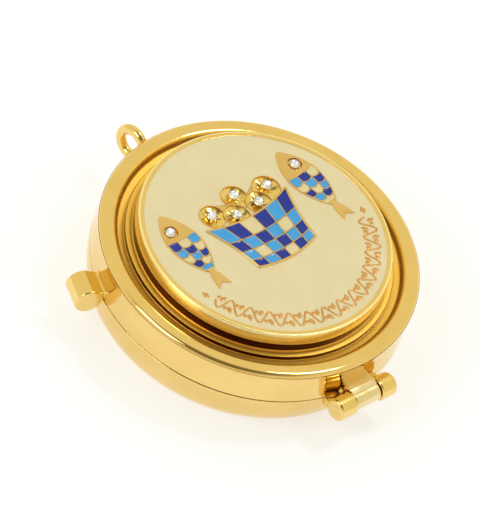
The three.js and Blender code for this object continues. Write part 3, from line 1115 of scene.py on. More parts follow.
class Figure(ABC):
    """A gold figure of the medallion, with rows of enamel cells between its walls.

    A cell keeps off each wall's middle by the margin share of the wall's width.
    """

    margin_share: float = 0.42
    name: str
    gold_name: str
    cells_name: str
    main_colour: Slot
    dip: float
    pad_steps: int
    cells_in_row: tuple[int, ...]

    @abstractmethod
    def gold(self) -> Surface:
        """The figure's gold, with the walls between its cells."""

    @abstractmethod
    def colour(self, row: int, column: int) -> Slot:
        """The enamel of a cell."""

    @abstractmethod
    def cell_map(self, row: int, column: int) -> CellMap:
        """How a cell's own square lies in the figure."""

    def cells(self, colour: Slot) -> Surface:
        """The enamel of all the cells of one colour.

        Args:
            colour: the enamel's slot.

        Returns:
            The cells' pads as one surface.
        """
        return Surface.joined([
            enamel_pad(self.cell_map(row, column), self.dip, self.pad_steps)
            for row, count in enumerate(self.cells_in_row) for column in range(count)
            if self.colour(row, column) is colour
        ])

    def build(self, turn: float) -> None:
        """Makes and dresses the gold and the three enamels.

        Args:
            turn: the medallion's turn, in degrees.
        """
        Piece(self.gold_name, FIGURE_GOLD).make(self.gold().turned(turn))
        for finish in (DARK_BLUE, LIGHT_BLUE, CELL_CREAM):
            colour = finish.slot.value.removeprefix("enamel_")
            stands_for = (f"{self.name}_inlay",) if finish.slot is self.main_colour else ()
            piece = Piece(f"{self.cells_name}_{colour}", finish, stands_for, sharp=60)
            piece.make(self.cells(finish.slot).turned(turn))


@dataclass
class Basket(Figure):
    """A woven basket seen from the front, as a warped chequer of enamel in gold walls."""

    name: str = "basket"
    gold_name: str = "basket_walls"
    cells_name: str = "basket_cells"
    main_colour: Slot = Slot.DARK_BLUE
    dip: float = 0.09
    pad_steps: int = 9
    cells_in_row: tuple[int, ...] = (6, 6, 6, 6)
    levels: tuple[float, ...] = (0.0, 0.2, 0.42, 0.665, 1.0)
    centre: float = 0.5
    top_half: float = 9.05
    bottom_half: float = 6.45
    top: float = 3.9
    sag: float = 1.55
    bottom: float = -5.8
    bulge: float = 1.1
    flare: float = 1.6
    droop: float = 0.06
    wall: float = 0.26
    border: float = 0.46
    border_rise: float = 0.03

    def half_width(self, up: np.ndarray | float) -> np.ndarray | float:
        """Half width at a share up the basket: it grows from foot to brim by up^flare."""
        return self.bottom_half + (self.top_half - self.bottom_half) * np.clip(up, 0, 1) ** self.flare

    def place(self, across: np.ndarray, up: np.ndarray) -> Arrays:
        """A point of the basket from its share across, -1 to 1, and up, 0 to 1.

        The foot bulges and the brim sags, both by the square of the share across. Between them a line
        hangs down by droop 4 up (1 - up) across^2.

        Args:
            across: shares across.
            up: shares up.

        Returns:
            The points' x and y.
        """
        up = up - 4 * self.droop * up * (1 - up) * across**2
        low = self.bottom + self.bulge * across**2
        high = self.top + self.sag * across**2
        return self.centre + across * self.half_width(up), low + (high - low) * up

    def brim(self, x: np.ndarray) -> np.ndarray:
        """Height of the brim's line over the medallion's X."""
        return self.top + self.sag * ((x - self.centre) / self.top_half) ** 2

    def line(self, across: np.ndarray | float, up: np.ndarray | float) -> np.ndarray:
        """Points of a line through the basket, from two arrays or an array and a number."""
        both = np.broadcast_arrays(np.asarray(across, float), np.asarray(up, float))
        return np.stack(self.place(*both), axis=1)

    def gold(self) -> Surface:
        """The plate under the cells, a grid over the whole basket, with walls and border as ridges.

        Returns:
            The plate and all its ridges.
        """
        across, up = np.meshgrid(np.linspace(-1, 1, 41), np.linspace(0, 1, 25), indexing="ij")
        x, y = self.place(across, up)
        sheet = closed_sheet(np.stack([x, y, np.full_like(x, LEVELS.ground)], axis=2), LEVELS.floor + 0.05)
        run = np.linspace(0, 1, 33)
        wide = 2 * run - 1
        columns = self.cells_in_row[0]
        inner = [self.line(wide, level) for level in self.levels[1:-1]]
        inner += [self.line(2 * k / columns - 1, run) for k in range(1, columns)]
        edges = [self.line(wide, 0), self.line(wide, 1), self.line(-1, run), self.line(1, run)]
        walls = [ridge(line, self.wall, LEVELS.ground, LEVELS.figure) for line in inner]
        walls += [ridge(line, self.border, LEVELS.ground, LEVELS.figure + self.border_rise) for line in edges]
        return Surface.joined([sheet, Surface.joined(walls)])

    def colour(self, row: int, column: int) -> Slot:
        """The enamel of a cell: a chequer of the two blues, with cream at every fifth cell.

        Args:
            row: the cell's row.
            column: its place in the row.

        Returns:
            The enamel's slot.
        """
        if (column + 2 * row) % 5 == 3:
            return Slot.CREAM
        return Slot.LIGHT_BLUE if (column + row) % 2 else Slot.DARK_BLUE

    def cell_map(self, row: int, column: int) -> CellMap:
        """How a cell's own square lies in the basket, drawn in by a little under half a wall on each side.

        Args:
            row: the cell's row.
            column: its place in the row.

        Returns:
            A function from the square's a and b to x and y.
        """
        columns = self.cells_in_row[row]
        middle_across = (2 * column + 1) / columns - 1
        foot, head = self.levels[row:row + 2]
        middle_up = (foot + head) / 2
        margin_across = self.wall * self.margin_share / self.half_width(middle_up)
        margin_up = self.wall * self.margin_share / (self.top - self.bottom)

        def corner(a: np.ndarray, b: np.ndarray) -> Arrays:
            """The basket's point at a share a across the cell and b up it."""
            across = middle_across + a * (1 / columns - margin_across)
            return self.place(across, middle_up + b * ((head - foot) / 2 - margin_up))

        return corner


@dataclass
class Loaves:
    """Five dished loaves, the two front ones over the three back ones. A place is x, y and radius."""

    basket: Basket
    rim: float = 0.3
    depth: float = 0.5
    flute: float = 0.1
    places: tuple[Triple, ...] = (
        (-1.7, 5.15, 2.45), (3.45, 5.35, 2.45), (-5.5, 7.15, 2.4), (0.5, 8.3, 2.45), (6.65, 7.0, 2.6),
    )
    front: int = 2
    lap: float = 0.02
    bowl_foot: float = 0.03
    bowl_lap: float = 0.3
    heap_lap: float = 0.6
    rim_foot: float = 0.25
    around: int = 240
    collet: float = 0.86
    collet_drop: float = 0.1
    collet_seat: float = 0.4

    def hidden(self, index: int, x: np.ndarray, y: np.ndarray) -> np.ndarray:
        """Where a loaf lies under the basket or, for a back loaf, under a front one.

        Args:
            index: which loaf, the front ones first.
            x: places across the medallion.
            y: places up the medallion.

        Returns:
            True at each hidden place.
        """
        covered = y < self.basket.brim(x)
        if index >= self.front:
            for fx, fy, radius in self.places[:self.front]:
                covered |= np.hypot(x - fx, y - fy) < radius - self.rim / 2
        return covered

    def bowl(self, index: int) -> Surface:
        """A loaf's bowl with soft flutes.

        At share t of the radius the bowl lies the depth times (1 - t^2.5) under the top. The flutes
        add sin(4 a + 2 index) + sin(7 a - index) / 2, times sin(pi t), to it.

        Args:
            index: which loaf, the front ones first.

        Returns:
            The closed surface.
        """
        columns, floor = 160, LEVELS.floor + self.bowl_foot
        x, y, radius = self.places[index]
        t = np.linspace(0, 1, 40)[:, None] * np.ones((1, columns))
        r = t * (radius - self.rim * self.bowl_lap)
        angle = 2 * np.pi * np.arange(columns)[None, :] / columns
        waves = np.sin(4 * angle + 2 * index) + np.sin(7 * angle - index) / 2
        z = LEVELS.enamel - self.depth * (1 - t**2.5) + self.flute * waves * np.sin(np.pi * t)
        z = np.where(self.hidden(index, x + r * np.cos(angle), y + r * np.sin(angle)), floor + self.lap, z)
        r = np.concatenate([r, r[-1:], np.zeros((1, columns))])
        z = np.concatenate([z, np.full((2, columns), floor)])
        return turned_grid(r, z).moved(x, y)

    def rims(self, index: int) -> list[Surface]:
        """The seen stretches of a loaf's rim, as ridges along its circle.

        Args:
            index: which loaf, the front ones first.

        Returns:
            A ridge for each stretch.
        """
        angle = np.linspace(0, 2 * np.pi, self.around + 1) - np.pi / 2
        centre_x, centre_y, radius = self.places[index]
        reach = radius - self.rim / 2
        x, y = centre_x + reach * np.cos(angle), centre_y + reach * np.sin(angle)
        seen = ~self.hidden(index, x, y)
        cuts = np.flatnonzero(np.diff(seen.astype(int))) + 1
        low, high = LEVELS.enamel - self.rim_foot, LEVELS.figure - self.lap
        return [
            ridge(np.stack([x[k], y[k]], axis=1), self.rim, low, high)
            for k in np.split(np.arange(len(angle)), cuts) if seen[k[0]] and len(k) > 3
        ]

    def heap(self) -> Surface:
        """The gold that fills the nooks between the loaves: high outside every loaf's circle, low inside.

        Returns:
            The closed surface.
        """
        edge = self.outline()
        centre = np.array(self.places)[:, :2].mean(axis=0)
        away = edge - centre
        low = LEVELS.floor + self.lap
        t = np.linspace(0, 1, 90)[:, None]
        x, y = centre[0] + t * away[:, 0], centre[1] + t * away[:, 1]
        nook = y > self.basket.brim(x)
        for loaf_x, loaf_y, radius in self.places:
            nook &= np.hypot(x - loaf_x, y - loaf_y) > radius - self.rim * self.heap_lap
        reach = t * np.hypot(*away.T)
        height = np.where(nook, LEVELS.enamel + self.lap, low + self.lap)
        reach = np.concatenate([reach, reach[-1:], 0 * reach[:1]])
        height = np.concatenate([height, np.full((2, len(edge)), low)])
        return turned_grid(reach, height).moved(*centre)

    def outline(self) -> np.ndarray:
        """The heap's outer edge: along each ray from its middle, the farthest of the loaves' circles.

        Returns:
            Rows of x and y, counter-clockwise.
        """
        places = np.array(self.places)
        centre = places[:, :2].mean(axis=0)
        angle = np.linspace(0, 2 * np.pi, self.around, endpoint=False)
        ray = np.stack([np.cos(angle), np.sin(angle)], axis=1)
        away = places[:, :2] - centre
        along = ray @ away.T
        off = np.sum(away**2, axis=1)[None, :] - along**2
        inner = (places[:, 2] - self.rim / 2)[None, :] ** 2
        reach = np.where(off < inner, along + np.sqrt(np.maximum(inner - off, 0)), 0)
        return centre + ray * np.maximum(reach.max(axis=1), 1.0)[:, None]

    def collet_at(self, x: float, y: float) -> Surface:
        """A loaf's setting: a short tube, narrower than its stone, with a small seat.

        Args:
            x: the stone's place across.
            y: the stone's place up.

        Returns:
            The surface in place.
        """
        low, top, radius = LEVELS.floor + 2 * self.lap, LEVELS.figure - self.collet_drop, self.collet
        seat = top - self.collet_seat
        return spun([
            (0, low, 0),
            (radius, low, 0),
            (radius, top, 0.05),
            (radius - 0.12, top, 0.03),
            (radius - 0.35, seat, 0.03),
            (0, seat, 0),
        ], 48).moved(x, y)

    def build(self, turn: float) -> None:
        """Makes and dresses the heap, its rims and the settings, whose places are already turned.

        Args:
            turn: the medallion's turn, in degrees.
        """
        count = range(len(self.places))
        rims = [r for k in count for r in self.rims(k)] + [self.heap()]
        Piece("loaves", BURNISHED).make(Surface.joined([self.bowl(k) for k in count]).turned(turn))
        Piece("loaf_rims", FIGURE_GOLD).make(Surface.joined(rims).turned(turn))
        Piece("collets", BURNISHED).make(Surface.joined([self.collet_at(*stone_place(k)) for k in count]))


@dataclass
class Fish(Figure):
    """A fish, nose upwards: gold head and tail, and a body of enamel scales in gold walls."""

    side: Side
    nose: Pair
    tilt: float
    main_colour: Slot = Slot.LIGHT_BLUE
    dip: float = 0.1
    pad_steps: int = 13
    cells_in_row: tuple[int, ...] = (3, 3, 3, 2, 1)
    length: float = 13.1
    width: float = 5.9
    stem: float = 0.45
    forward: float = 0.9
    fullness: float = 0.8
    tail: float = 3.4
    tail_half: float = 1.45
    notch: float = 0.95
    eye_aside: float = 0.65
    eye_below: float = 3.5
    eye_hole: float = 1.33
    eye_lap: float = 0.03
    eye_drop: float = 0.45
    lip_rise: float = 0.04
    cup_step: float = 0.1
    cup_depth: float = 0.4
    head: float = 0.4
    body_end: float = 0.95
    bow: float = 0.02
    scallop: float = 0.028
    wall: float = 0.26
    border: float = 0.3
    plate_root: float = 0.5
    plate_lap: float = 0.6
    border_rise: float = 0.02
    flank_share: float = 0.9
    row_reach: float = 0.97
    row_shrink: float = 0.93
    mouth: Pair = (0.9, 2.0)
    mouth_slant: float = -0.12
    mouth_width: float = 0.16
    mouth_rise: float = 0.05

    def __post_init__(self) -> None:
        """Names the fish after its side."""
        self.name = self.gold_name = f"fish_{self.side.name.lower()}"
        self.cells_name = f"{self.name}_scales"

    def half_width(self, share: np.ndarray) -> np.ndarray:
        """Half width at share s of the length: width / 2 sin(pi s^forward)^fullness + stem s."""
        s = np.clip(share, 0, 1)
        return self.width / 2 * np.sin(np.pi * s**self.forward) ** self.fullness + self.stem * s

    def carry(self, x: np.ndarray, y: np.ndarray) -> Arrays:
        """Points of the fish's own frame turned by its tilt and moved to its nose."""
        c, s = math.cos(math.radians(self.tilt)), math.sin(math.radians(self.tilt))
        return self.nose[0] + x * c - y * s, self.nose[1] + x * s + y * c

    def place(self, across: np.ndarray, share: np.ndarray) -> Arrays:
        """A point of the body from its share across, -1 to 1, and along, 0 at the nose to 1 at the stem."""
        return self.carry(across * self.half_width(share), -share * self.length)

    def eye(self) -> Pair:
        """Where the fish's stone sits."""
        x, y = self.carry(np.array(self.side.value * self.eye_aside), np.array(-self.eye_below))
        return float(x), float(y)

    def eye_cup(self) -> Surface:
        """The stone's setting in the head: a lip, a steep cup and a small seat.

        Returns:
            The surface in place.
        """
        top, step, hole, seat = LEVELS.figure, self.cup_step, self.eye_hole, Stone.radius
        foot, lip, cup = LEVELS.floor + step, top + self.lip_rise, top - self.cup_depth
        return spun([
            (0, foot, 0),
            (hole + step, foot, 0),
            (hole + step, lip, 0.06),
            (hole - 0.08, lip, 0.05),
            (hole - 0.14, cup, 0.05),
            (seat - step, cup, 0.05),
            (seat - step, top - step, 0.03),
            (seat - 2 * step, top - step, 0.03),
            (seat - 4 * step, top - 5 * step, 0.03),
            (0, top - 5 * step, 0),
        ], 64).moved(*self.eye())

    def plate(self) -> Surface:
        """The gold fish: rounded over at its flanks, lower under the scales and pierced at the eye.

        Across the fish at share c the top stands low + (high - low) (1 - c^10). Between the gill line
        and the stem it drops to the scales' level, and at the eye it drops to the underside. The tail
        widens by the square root of its share and is notched by 1 - |c|.

        Returns:
            The closed surface.
        """
        low, high = LEVELS.enamel, LEVELS.figure
        along = np.concatenate([np.linspace(0.004, 1, 150), 1 + np.linspace(0, 1, 30)[1:]])
        c, s = np.meshgrid(np.linspace(-1, 1, 61), along)
        tail_share = np.clip(s - 1, 0, 1)
        tail_width = self.stem + (self.tail_half - self.stem) * tail_share**0.5
        half = np.where(s <= 1, self.half_width(s), tail_width)
        tail_down = self.length + tail_share * (self.tail - self.notch * (1 - np.abs(c)))
        x, y = self.carry(c * half, -np.where(s <= 1, s * self.length, tail_down))
        z = low + (high - low) * (1 - np.abs(c) ** 10)
        gill = self.head + self.bow * (1 - c**2)
        within = np.abs(c) * half < half - self.border * self.plate_lap
        z = np.where((s > gill) & (s < self.body_end) & within, LEVELS.ground, z)
        ex, ey = self.eye()
        z = np.where(np.hypot(x - ex, y - ey) < self.eye_hole - self.eye_lap, low - self.eye_drop, z)
        return closed_sheet(np.stack([x, y, z], axis=2), low - self.plate_root)

    def row_edges(self) -> np.ndarray:
        """The shares of the length where the rows of scales meet, each row a little shorter than the last."""
        steps = self.row_shrink ** np.arange(len(self.cells_in_row))
        return self.head + (self.body_end - self.head) * np.concatenate([[0], np.cumsum(steps) / steps.sum()])

    def row_line(self, row: int, across: np.ndarray) -> np.ndarray:
        """Share of the length at which a row of scales begins.

        The first row begins on the bowed gill line. Each later one begins on the scallops of the row
        before it: with a from -1 to 1 across a scale, the line hangs down by the scallop times (1 - a^2).

        Args:
            row: which row; one past the last gives the foot of the last row.
            across: shares across the fish.

        Returns:
            The shares of the length.
        """
        edge = self.row_edges()[row]
        if row == 0:
            return edge + self.bow * (1 - across**2)
        if row == len(self.cells_in_row):
            return edge + 0 * across
        count = self.cells_in_row[row - 1]
        a = 2 * np.mod((np.clip(across, -0.9999, 0.9999) + 1) / 2 * count, 1) - 1
        return edge + self.scallop * (1 - a**2)

    def gold(self) -> Surface:
        """The plate, the walls between the scales, the border round them, the mouth and the eye's setting.

        Returns:
            The plate with all its ridges and the setting.
        """
        low, high = LEVELS.ground, LEVELS.figure
        rows = len(self.cells_in_row)
        t = np.linspace(-self.row_reach, self.row_reach, 73)
        lines = []
        for k in range(rows + 1):
            width = self.border if k in (0, rows) else self.wall
            lines.append(ridge(np.stack(self.place(t, self.row_line(k, t)), axis=1), width, low, high))
        for k, count in enumerate(self.cells_in_row):
            for j in range(1, count):
                across = np.full(9, 2 * j / count - 1)
                run = np.linspace(self.row_line(k, across)[0], self.row_line(k + 1, across)[0], 9)
                lines.append(ridge(np.stack(self.place(across, run), axis=1), self.wall, low, high))
        flank = np.linspace(self.head - 0.01, self.body_end + 0.01, 49)
        half = self.half_width(flank) - self.border / 2
        for sign in (-1, 1):
            path = np.stack(self.carry(sign * half, -flank * self.length), axis=1)
            lines.append(ridge(path, self.border, low, high + self.border_rise))
        lip = np.linspace(*self.mouth, 5)
        path = np.stack(self.carry(self.side.value * self.mouth_slant * lip, -lip), axis=1)
        lines.append(ridge(path, self.mouth_width, high - self.mouth_rise, high + self.mouth_rise))
        return Surface.joined([self.plate(), Surface.joined(lines), self.eye_cup()])

    def colour(self, row: int, column: int) -> Slot:
        """The enamel of a scale, from its row and column and the side of the medallion."""
        start = 0 if self.side is Side.LEFT else 1
        return (Slot.DARK_BLUE, Slot.LIGHT_BLUE, Slot.CREAM)[(2 * column + row + start) % 3]

    def cell_map(self, row: int, column: int) -> CellMap:
        """How a scale's own square lies on the fish, drawn in from the walls and the border.

        Args:
            row: the scale's row.
            column: its place in the row.

        Returns:
            A function from the square's a and b to x and y.
        """
        count = self.cells_in_row[row]
        left, right = 2 * column / count - 1, 2 * (column + 1) / count - 1
        margin, flank = self.wall * self.margin_share, self.border * self.flank_share

        def corner(a: np.ndarray, b: np.ndarray) -> Arrays:
            """The fish's point at a share a across the scale and b along it.

            Args:
                a: shares across.
                b: shares along.

            Returns:
                The points' x and y.
            """
            across = (left + right) / 2 + a * (right - left) / 2
            top, foot = self.row_line(row, across), self.row_line(row + 1, across)
            share = (top + foot) / 2 + b * ((foot - top) / 2 - margin / self.length)
            half = self.half_width(share)
            low = left + (flank if column == 0 else margin) / half
            high = right - (flank if column == count - 1 else margin) / half
            return self.place((low + high) / 2 + a * (high - low) / 2, share)

        return corner


@dataclass
class Vine:
    """The border that runs round the medallion's foot: a waved stem with leaves and berries."""

    radius: float = 17.95
    wave: float = 1.3
    periods: int = 13
    start: float = 199.0
    end: float = 340.0
    stroke: float = 0.42
    leaf_length: float = 2.0
    leaf_width: float = 0.8
    leaf_slip: float = 0.02
    leaf_run: float = 0.17
    leaf_off: float = 0.15
    leaf_reach: float = 0.72
    leaf_curl: float = 0.1
    leaf_tip: float = 0.08
    foot: float = 0.02
    rise: float = 0.05
    berry: float = 0.4
    berry_back: float = 0.16
    berry_off: float = 0.75
    lozenge: float = 0.75
    lozenge_angles: Pair = (193.7, 344.7)
    lozenge_off: float = 0.4
    lozenge_tip: float = 0.06

    def __post_init__(self) -> None:
        """Works out a wave's span and the strokes' foot and top."""
        self.span = (self.end - self.start) / self.periods
        self.low, self.high = LEVELS.enamel - self.foot, LEVELS.enamel + self.rise

    def at(self, angle: np.ndarray, radius: np.ndarray) -> np.ndarray:
        """Points at angles in degrees and distances from the medallion's centre."""
        q = np.radians(angle)
        return np.stack([radius * np.cos(q), radius * np.sin(q)], axis=-1)

    def stem(self) -> Surface:
        """The stem: its radius is the border's plus the wave times sin of its phase.

        Returns:
            The stem's surface.
        """
        t = np.linspace(0, 1, self.periods * 20)
        radius = self.radius + self.wave * np.sin(2 * np.pi * self.periods * t)
        path = self.at(self.start + (self.end - self.start) * t, radius)
        return ridge(path, self.stroke, self.low, self.high)

    def leaf(self, phase: float, sign: int) -> Surface:
        """A leaf in one half wave: a short bent stroke, its width half a sine along it.

        Args:
            phase: where along the stem, in periods.
            sign: 1 where the stem swings out, -1 where it swings in.

        Returns:
            The leaf's surface.
        """
        t = np.linspace(0, 1, 13)
        angle = self.start + self.span * phase + self.span * (self.leaf_run * t - self.leaf_slip)
        fall = self.leaf_length * self.leaf_reach * t - self.leaf_length * self.leaf_curl * t**2
        radius = self.radius + sign * (-self.leaf_off - fall)
        width = self.leaf_tip + self.leaf_width * np.sin(np.pi * t**0.8)
        return ridge(self.at(angle, radius), width, self.low, self.high)

    def berry_at(self, phase: float, sign: int) -> Surface:
        """A round berry beside the stem, a low dome: radius times sin q, height times cos q.

        Args:
            phase: where along the stem, in periods.
            sign: 1 where the stem swings out, -1 where it swings in.

        Returns:
            The berry's surface.
        """
        angle = np.array(self.start + self.span * (phase - self.berry_back))
        x, y = self.at(angle, np.array(self.radius - sign * self.berry_off))
        q = np.linspace(0, np.pi / 2, 6)
        dome = np.stack([self.berry * np.sin(q), self.low + (self.high - self.low) * np.cos(q)], axis=1)
        return revolve(np.concatenate([dome, [[0, self.low - self.rise]]]), 16).moved(float(x), float(y))

    def diamond(self, angle: float) -> Surface:
        """A lozenge at one end: its two halves narrow from the middle to a point.

        Args:
            angle: where it lies round the medallion, in degrees.

        Returns:
            The lozenge's surface.
        """
        t = np.linspace(-1, 1, 9)
        middle = self.at(np.array(angle), np.array(self.radius + self.lozenge_off))
        run = np.array([-math.sin(math.radians(angle)), math.cos(math.radians(angle))])
        path = middle + t[:, None] * run * self.lozenge
        width = self.lozenge_tip + 1.5 * self.lozenge * (1 - np.abs(t))
        return ridge(path, width, self.low, self.high)

    def build(self, turn: float) -> None:
        """Makes and dresses the whole border.

        Args:
            turn: the medallion's turn, in degrees.
        """
        halves = [(0.25 + k / 2, 1 if k % 2 == 0 else -1) for k in range(2 * self.periods)]
        strokes = [self.stem()]
        strokes += [self.leaf(*half) for half in halves]
        strokes += [self.berry_at(*half) for half in halves]
        strokes += [self.diamond(angle) for angle in self.lozenge_angles]
        Piece("vine_border", STROKE_GOLD, sharp=60).make(Surface.joined(strokes).turned(turn))


def stone_place(index: int) -> Pair:
    """The middle of a stone's CAD node, already turned with the medallion.

    Args:
        index: which stone, from 0.

    Returns:
        Its x and y.
    """
    node = f"stone_{index + 1}"
    x, y, _ = (cad_low(node) + cad_high(node)) / 2
    return x, y


@dataclass
class Stone:
    """A round clear stone cut with a flat table, two rows of crown facets and a pointed back."""

    radius: float = 0.95
    facets: int = 8
    crown: float = 0.35
    back: float = 0.45
    girdle: float = 0.06
    table: float = 0.58
    count: int = 7
    turn_each: float = 17.0
    foil_gap: float = 0.015
    foil_skin: float = 0.02

    def surface(self) -> Surface:
        """Rings of points, each turned half a facet from the next, joined by flat triangles.

        Each ring is (share of the radius, height, turn in facets).

        Returns:
            The closed surface.
        """
        rings = [
            (self.table, self.girdle + self.crown, 0.0),
            (0.84, self.girdle + self.crown * 0.55, 0.5),
            (1.0, self.girdle, 0.0),
            (1.0, 0.0, 0.5),
            (0.5, -self.back * 0.55, 0.0),
        ]
        count = self.facets
        j = np.arange(count)
        ahead = (j + 1) % count
        points, triangles = [], []
        for k, (share, height, turn) in enumerate(rings):
            q = 2 * np.pi * (j + turn) / count
            r = share * self.radius
            points.append(np.stack([r * np.cos(q), r * np.sin(q), np.full(count, height)], axis=1))
            upper, lower = k * count, (k + 1) * count
            if k < len(rings) - 1:
                apex, foot = (upper + ahead, lower + j) if turn == 0 else (lower + ahead, upper + j)
                triangles.append(np.stack([upper + j, lower + j, apex], axis=1))
                triangles.append(np.stack([foot, lower + ahead, upper + ahead], axis=1))
            else:
                triangles.append(np.stack([upper + j, np.full(count, lower), upper + ahead], axis=1))
        points.append(np.array([[0, 0, -self.back]]))
        cut = Surface(np.concatenate(points), triangles=np.concatenate(triangles), caps=[list(range(count))])
        return cut.outward()

    def foil(self) -> Surface:
        """The foil: a thin faceted cup just under the stone's pointed back.

        Returns:
            The closed surface.
        """
        gap, skin = self.foil_gap, self.foil_skin
        inner = np.array([[self.radius * 0.88, -gap - self.back * 0.16], [0.0, -self.back - gap]])
        outer = inner + np.array([[skin, -skin / 2], [0.0, -skin]])
        return revolve(np.concatenate([inner[::-1], outer]), self.facets)

    def build(self) -> None:
        """Makes and dresses the stones, each over its own CAD node's place, and their foils."""
        shapes, foils = (self.surface(), self.foil()), []
        for k in range(self.count):
            place = (*stone_place(k), LEVELS.pad)
            cut, foil = (shape.turned(self.turn_each * k).moved(*place) for shape in shapes)
            Piece(f"crystal_{k + 1}", CRYSTAL, (f"stone_{k + 1}",), sharp=1).make(cut)
            foils.append(foil)
        Piece("stone_foils", FOIL, sharp=1).make(Surface.joined(foils))


@dataclass
class Medallion:
    """The plate, its enamel, and the figures and stones on it.

    A corner of the bead is how far it lies in from the edge and below the top, and its rounding.
    """

    turn: float = 2.5
    bezel: float = 0.98
    bezel_rise: float = 0.05
    bead: tuple[Triple, ...] = ((0.12, 0.6, 0.1), (0.14, 0.5, 0.05), (0.02, 0.35, 0.1), (0.06, 0.0, 0.2))
    enamel_edge: float = 0.05
    enamel_steps: int = 3
    sheet_lap: float = 0.03
    sheet_slack: float = 0.1
    hole_lap: float = 0.1
    basket: Basket = field(default_factory=Basket)
    fishes: tuple[Fish, Fish] = (
        Fish(Side.LEFT, nose=(-13.3, 11.8), tilt=-0.9),
        Fish(Side.RIGHT, nose=(13.35, 11.65), tilt=4.9),
    )

    def __post_init__(self) -> None:
        """Reads the plate's radius from the frame and sets the loaves behind the basket."""
        self.loaves = Loaves(self.basket)
        self.radius = cad_high("medallion_plate")[0]
        self.field_radius = self.radius - self.bezel

    def plate(self) -> Surface:
        """The dish: an outer face with a fine bead under its upper edge, the bezel and the recess.

        Returns:
            The closed surface.
        """
        edge, inner, top = self.radius, self.field_radius, LEVELS.enamel + self.bezel_rise
        return spun([
            (0, LEVELS.bottom, 0),
            (edge, LEVELS.bottom, 0.08),
            *((edge - inwards, top - down, rounding) for inwards, down, rounding in self.bead),
            (inner, top, 0.06),
            (inner, LEVELS.floor, 0.05),
            (0, LEVELS.floor, 0),
        ])

    def enamel(self) -> bpy.types.Mesh:
        """The cream sheet: a filled flat curve with holes at the loaves and the eyes, its edges rounded.

        Returns:
            The sheet's mesh, in metres and in place.
        """
        curve = bpy.data.curves.new("cream_outline", "CURVE")
        curve.dimensions = "2D"
        curve.fill_mode = "BOTH"
        edge = self.enamel_edge
        rims = [self.circle(0, 0, self.field_radius - edge + self.sheet_lap, ROUND_STEPS)]
        rims += [inset(self.loaves.outline(), -edge)]
        rims += [self.circle(*f.eye(), f.eye_hole - self.hole_lap + edge, 48) for f in self.fishes]
        for rim in rims:
            spline = curve.splines.new("POLY")
            spline.points.add(len(rim) - 1)
            row = np.zeros((len(rim), 4))
            row[:, :2] = rim * MM
            spline.points.foreach_set("co", row.ravel())
            spline.use_cyclic_u = True
        thickness = LEVELS.enamel_depth - self.sheet_slack
        curve.extrude = (thickness / 2 - edge) * MM
        curve.bevel_depth = edge * MM
        curve.bevel_resolution = self.enamel_steps
        flat = shown("cream_outline", curve)
        bpy.context.view_layer.update()
        mesh = bpy.data.meshes.new_from_object(flat.evaluated_get(bpy.context.evaluated_depsgraph_get()))
        bpy.data.objects.remove(flat)
        lift = Matrix.Translation((0, 0, (LEVELS.enamel - thickness / 2) * MM))
        mesh.transform(Matrix.Rotation(math.radians(self.turn), 4, "Z") @ lift)
        mesh.materials.clear()
        return mesh

    @staticmethod
    def circle(x: float, y: float, radius: float, count: int) -> np.ndarray:
        """Points of a circle round x, y."""
        q = np.linspace(0, 2 * np.pi, count, endpoint=False)
        return np.stack([x + radius * np.cos(q), y + radius * np.sin(q)], axis=1)

    def build(self) -> None:
        """Makes and dresses the whole medallion."""
        Piece("medallion_dish", RIM_GOLD, ("medallion_plate",)).make(self.plate().turned(self.turn))
        Piece("cream_field", CREAM, ("enamel_field",), sharp=70).take(self.enamel())
        for part in (self.loaves, self.basket, *self.fishes):
            part.build(self.turn)
        Stone().build()
        Vine().build(self.turn)


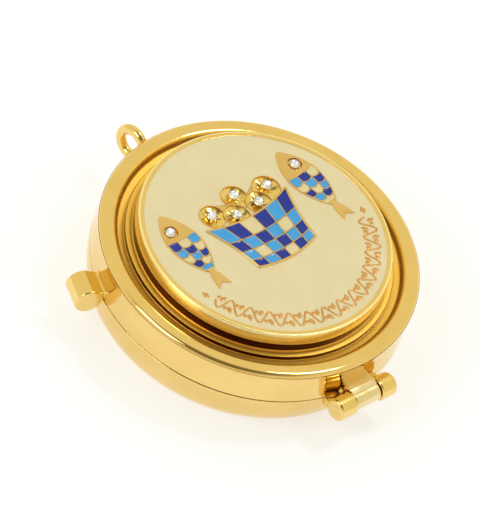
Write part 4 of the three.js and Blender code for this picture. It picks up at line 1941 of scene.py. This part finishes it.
@dataclass
class Studio:
    """The floor, the soft light and the camera at the photograph's angle.

    A lamp is its name, bearing and elevation in degrees, side in metres and power in watts.
    """

    azimuth: float = -57.5
    elevation: float = 47.053
    roll: float = 22.39
    distance: float = 3181.2
    pixels_per_mm: float = 6.194
    long_side: float = 518.0
    sensor: float = 36.0
    aim_height: float = 17.2
    shift_right: float = 4.187
    shift_up: float = 4.172
    sky: Triple = (0.91, 0.85, 0.61)
    shade: Triple = (0.21, 0.18, 0.12)
    shade_elevation: float = 60.0
    shade_ends: Pair = (0.60, 0.985)
    light_distance: float = 0.6
    lamps: tuple = (("far_light", 0, 65, 0.10, 0.45), ("left_light", 168, 43, 0.27, 0.8))
    clip: Pair = (0.1, 20.0)
    floor_reach: float = 2.0
    floor_drop: float = 0.00005

    def floor(self) -> None:
        """A wide pale sheet just under the box."""
        mesh = bpy.data.meshes.new("floor")
        signs = ((-1, -1), (1, -1), (1, 1), (-1, 1))
        corners = [(x * self.floor_reach, y * self.floor_reach, -self.floor_drop) for x, y in signs]
        mesh.from_pydata(corners, [], [(0, 1, 2, 3)])
        mesh.materials.append(dressed(PAPER))
        obj = shown("floor", mesh)

    def axes(self) -> tuple[Vector, Vector, Vector]:
        """The camera's right, up and back directions, from its azimuth, elevation and roll.

        Returns:
            The three directions, each one long.
        """
        a, e, r = (math.radians(v) for v in (self.azimuth, self.elevation, self.roll))
        right = Vector((math.cos(a), math.sin(a), 0))
        back = Vector((math.sin(a) * math.cos(e), -math.cos(a) * math.cos(e), math.sin(e)))
        up = back.cross(right)
        return math.cos(r) * right + math.sin(r) * up, -math.sin(r) * right + math.cos(r) * up, back

    def camera(self) -> None:
        """The camera, far off with a long lens, as the photograph was taken."""
        right, up, back = self.axes()
        aim = Vector((0, 0, self.aim_height)) - self.shift_right * right - self.shift_up * up
        data = bpy.data.cameras.new("camera")
        data.sensor_width = self.sensor
        data.lens = self.pixels_per_mm * self.distance / self.long_side * self.sensor
        data.clip_start, data.clip_end = self.clip
        obj = shown("camera", data)
        turn = Matrix((right, up, back)).transposed().to_4x4()
        obj.matrix_world = Matrix.Translation((aim + self.distance * back) * MM) @ turn
        bpy.context.scene.camera = obj

    def area(self, name: str, bearing: float, elevation: float, size: float, power: float) -> None:
        """A square soft light that faces the box.

        Args:
            name: the light's name.
            bearing: its bearing from X, in degrees.
            elevation: its elevation, in degrees.
            size: its side, in metres.
            power: its power, in watts.
        """
        data = bpy.data.lights.new(name, "AREA")
        data.size = size
        data.energy = power
        obj = shown(name, data)
        obj.location = self.light_distance * self.towards(bearing, elevation)
        obj.rotation_mode = "QUATERNION"
        obj.rotation_quaternion = (-obj.location).to_track_quat("-Z", "Y")

    def world(self) -> None:
        """Even pale surroundings, with a soft dark patch above the camera, as a person there would make.

        The shade follows a direction's share along the patch's middle, eased between the two ends.
        """
        world = bpy.data.worlds.new("studio")
        bpy.context.scene.world = world
        world.use_nodes = True
        nodes = Nodes(world.node_tree)
        direction = nodes.add("ShaderNodeTexCoord", {}).outputs["Generated"]
        patch = self.towards(self.azimuth - 90, self.shade_elevation)
        along = nodes.add("ShaderNodeVectorMath", {0: direction, 1: patch}, operation="DOT_PRODUCT")
        clear = nodes.spread(
            along.outputs["Value"], (1.0, 0.0), self.shade_ends, interpolation_type="SMOOTHSTEP"
        )
        colour = nodes.ramp(clear, self.shade, self.sky, (0.0, 1.0))
        nodes.feed(nodes.tree.nodes["Background"], {"Color": colour})

    @staticmethod
    def towards(bearing: float, elevation: float) -> Vector:
        """The direction at a bearing from X and an elevation, both in degrees."""
        b, e = math.radians(bearing), math.radians(elevation)
        return Vector((math.cos(b) * math.cos(e), math.sin(b) * math.cos(e), math.sin(e)))

    def build(self) -> None:
        """Sets the whole stage."""
        bpy.context.scene.view_settings.view_transform = "Standard"
        self.floor()
        self.camera()
        self.world()
        for lamp in self.lamps:
            self.area(*lamp)


def main() -> None:
    """Builds the stage and every sub-assembly."""
    logging.basicConfig(level=logging.INFO, format="%(name)s %(message)s")
    for part in (Studio(), BaseBody(), LidBody(), Hinge(), ThumbCatch(), CordRing(), Medallion()):
        LOG.info("building %s", type(part).__name__)
        part.build()


if __name__ == "__main__":
    main()
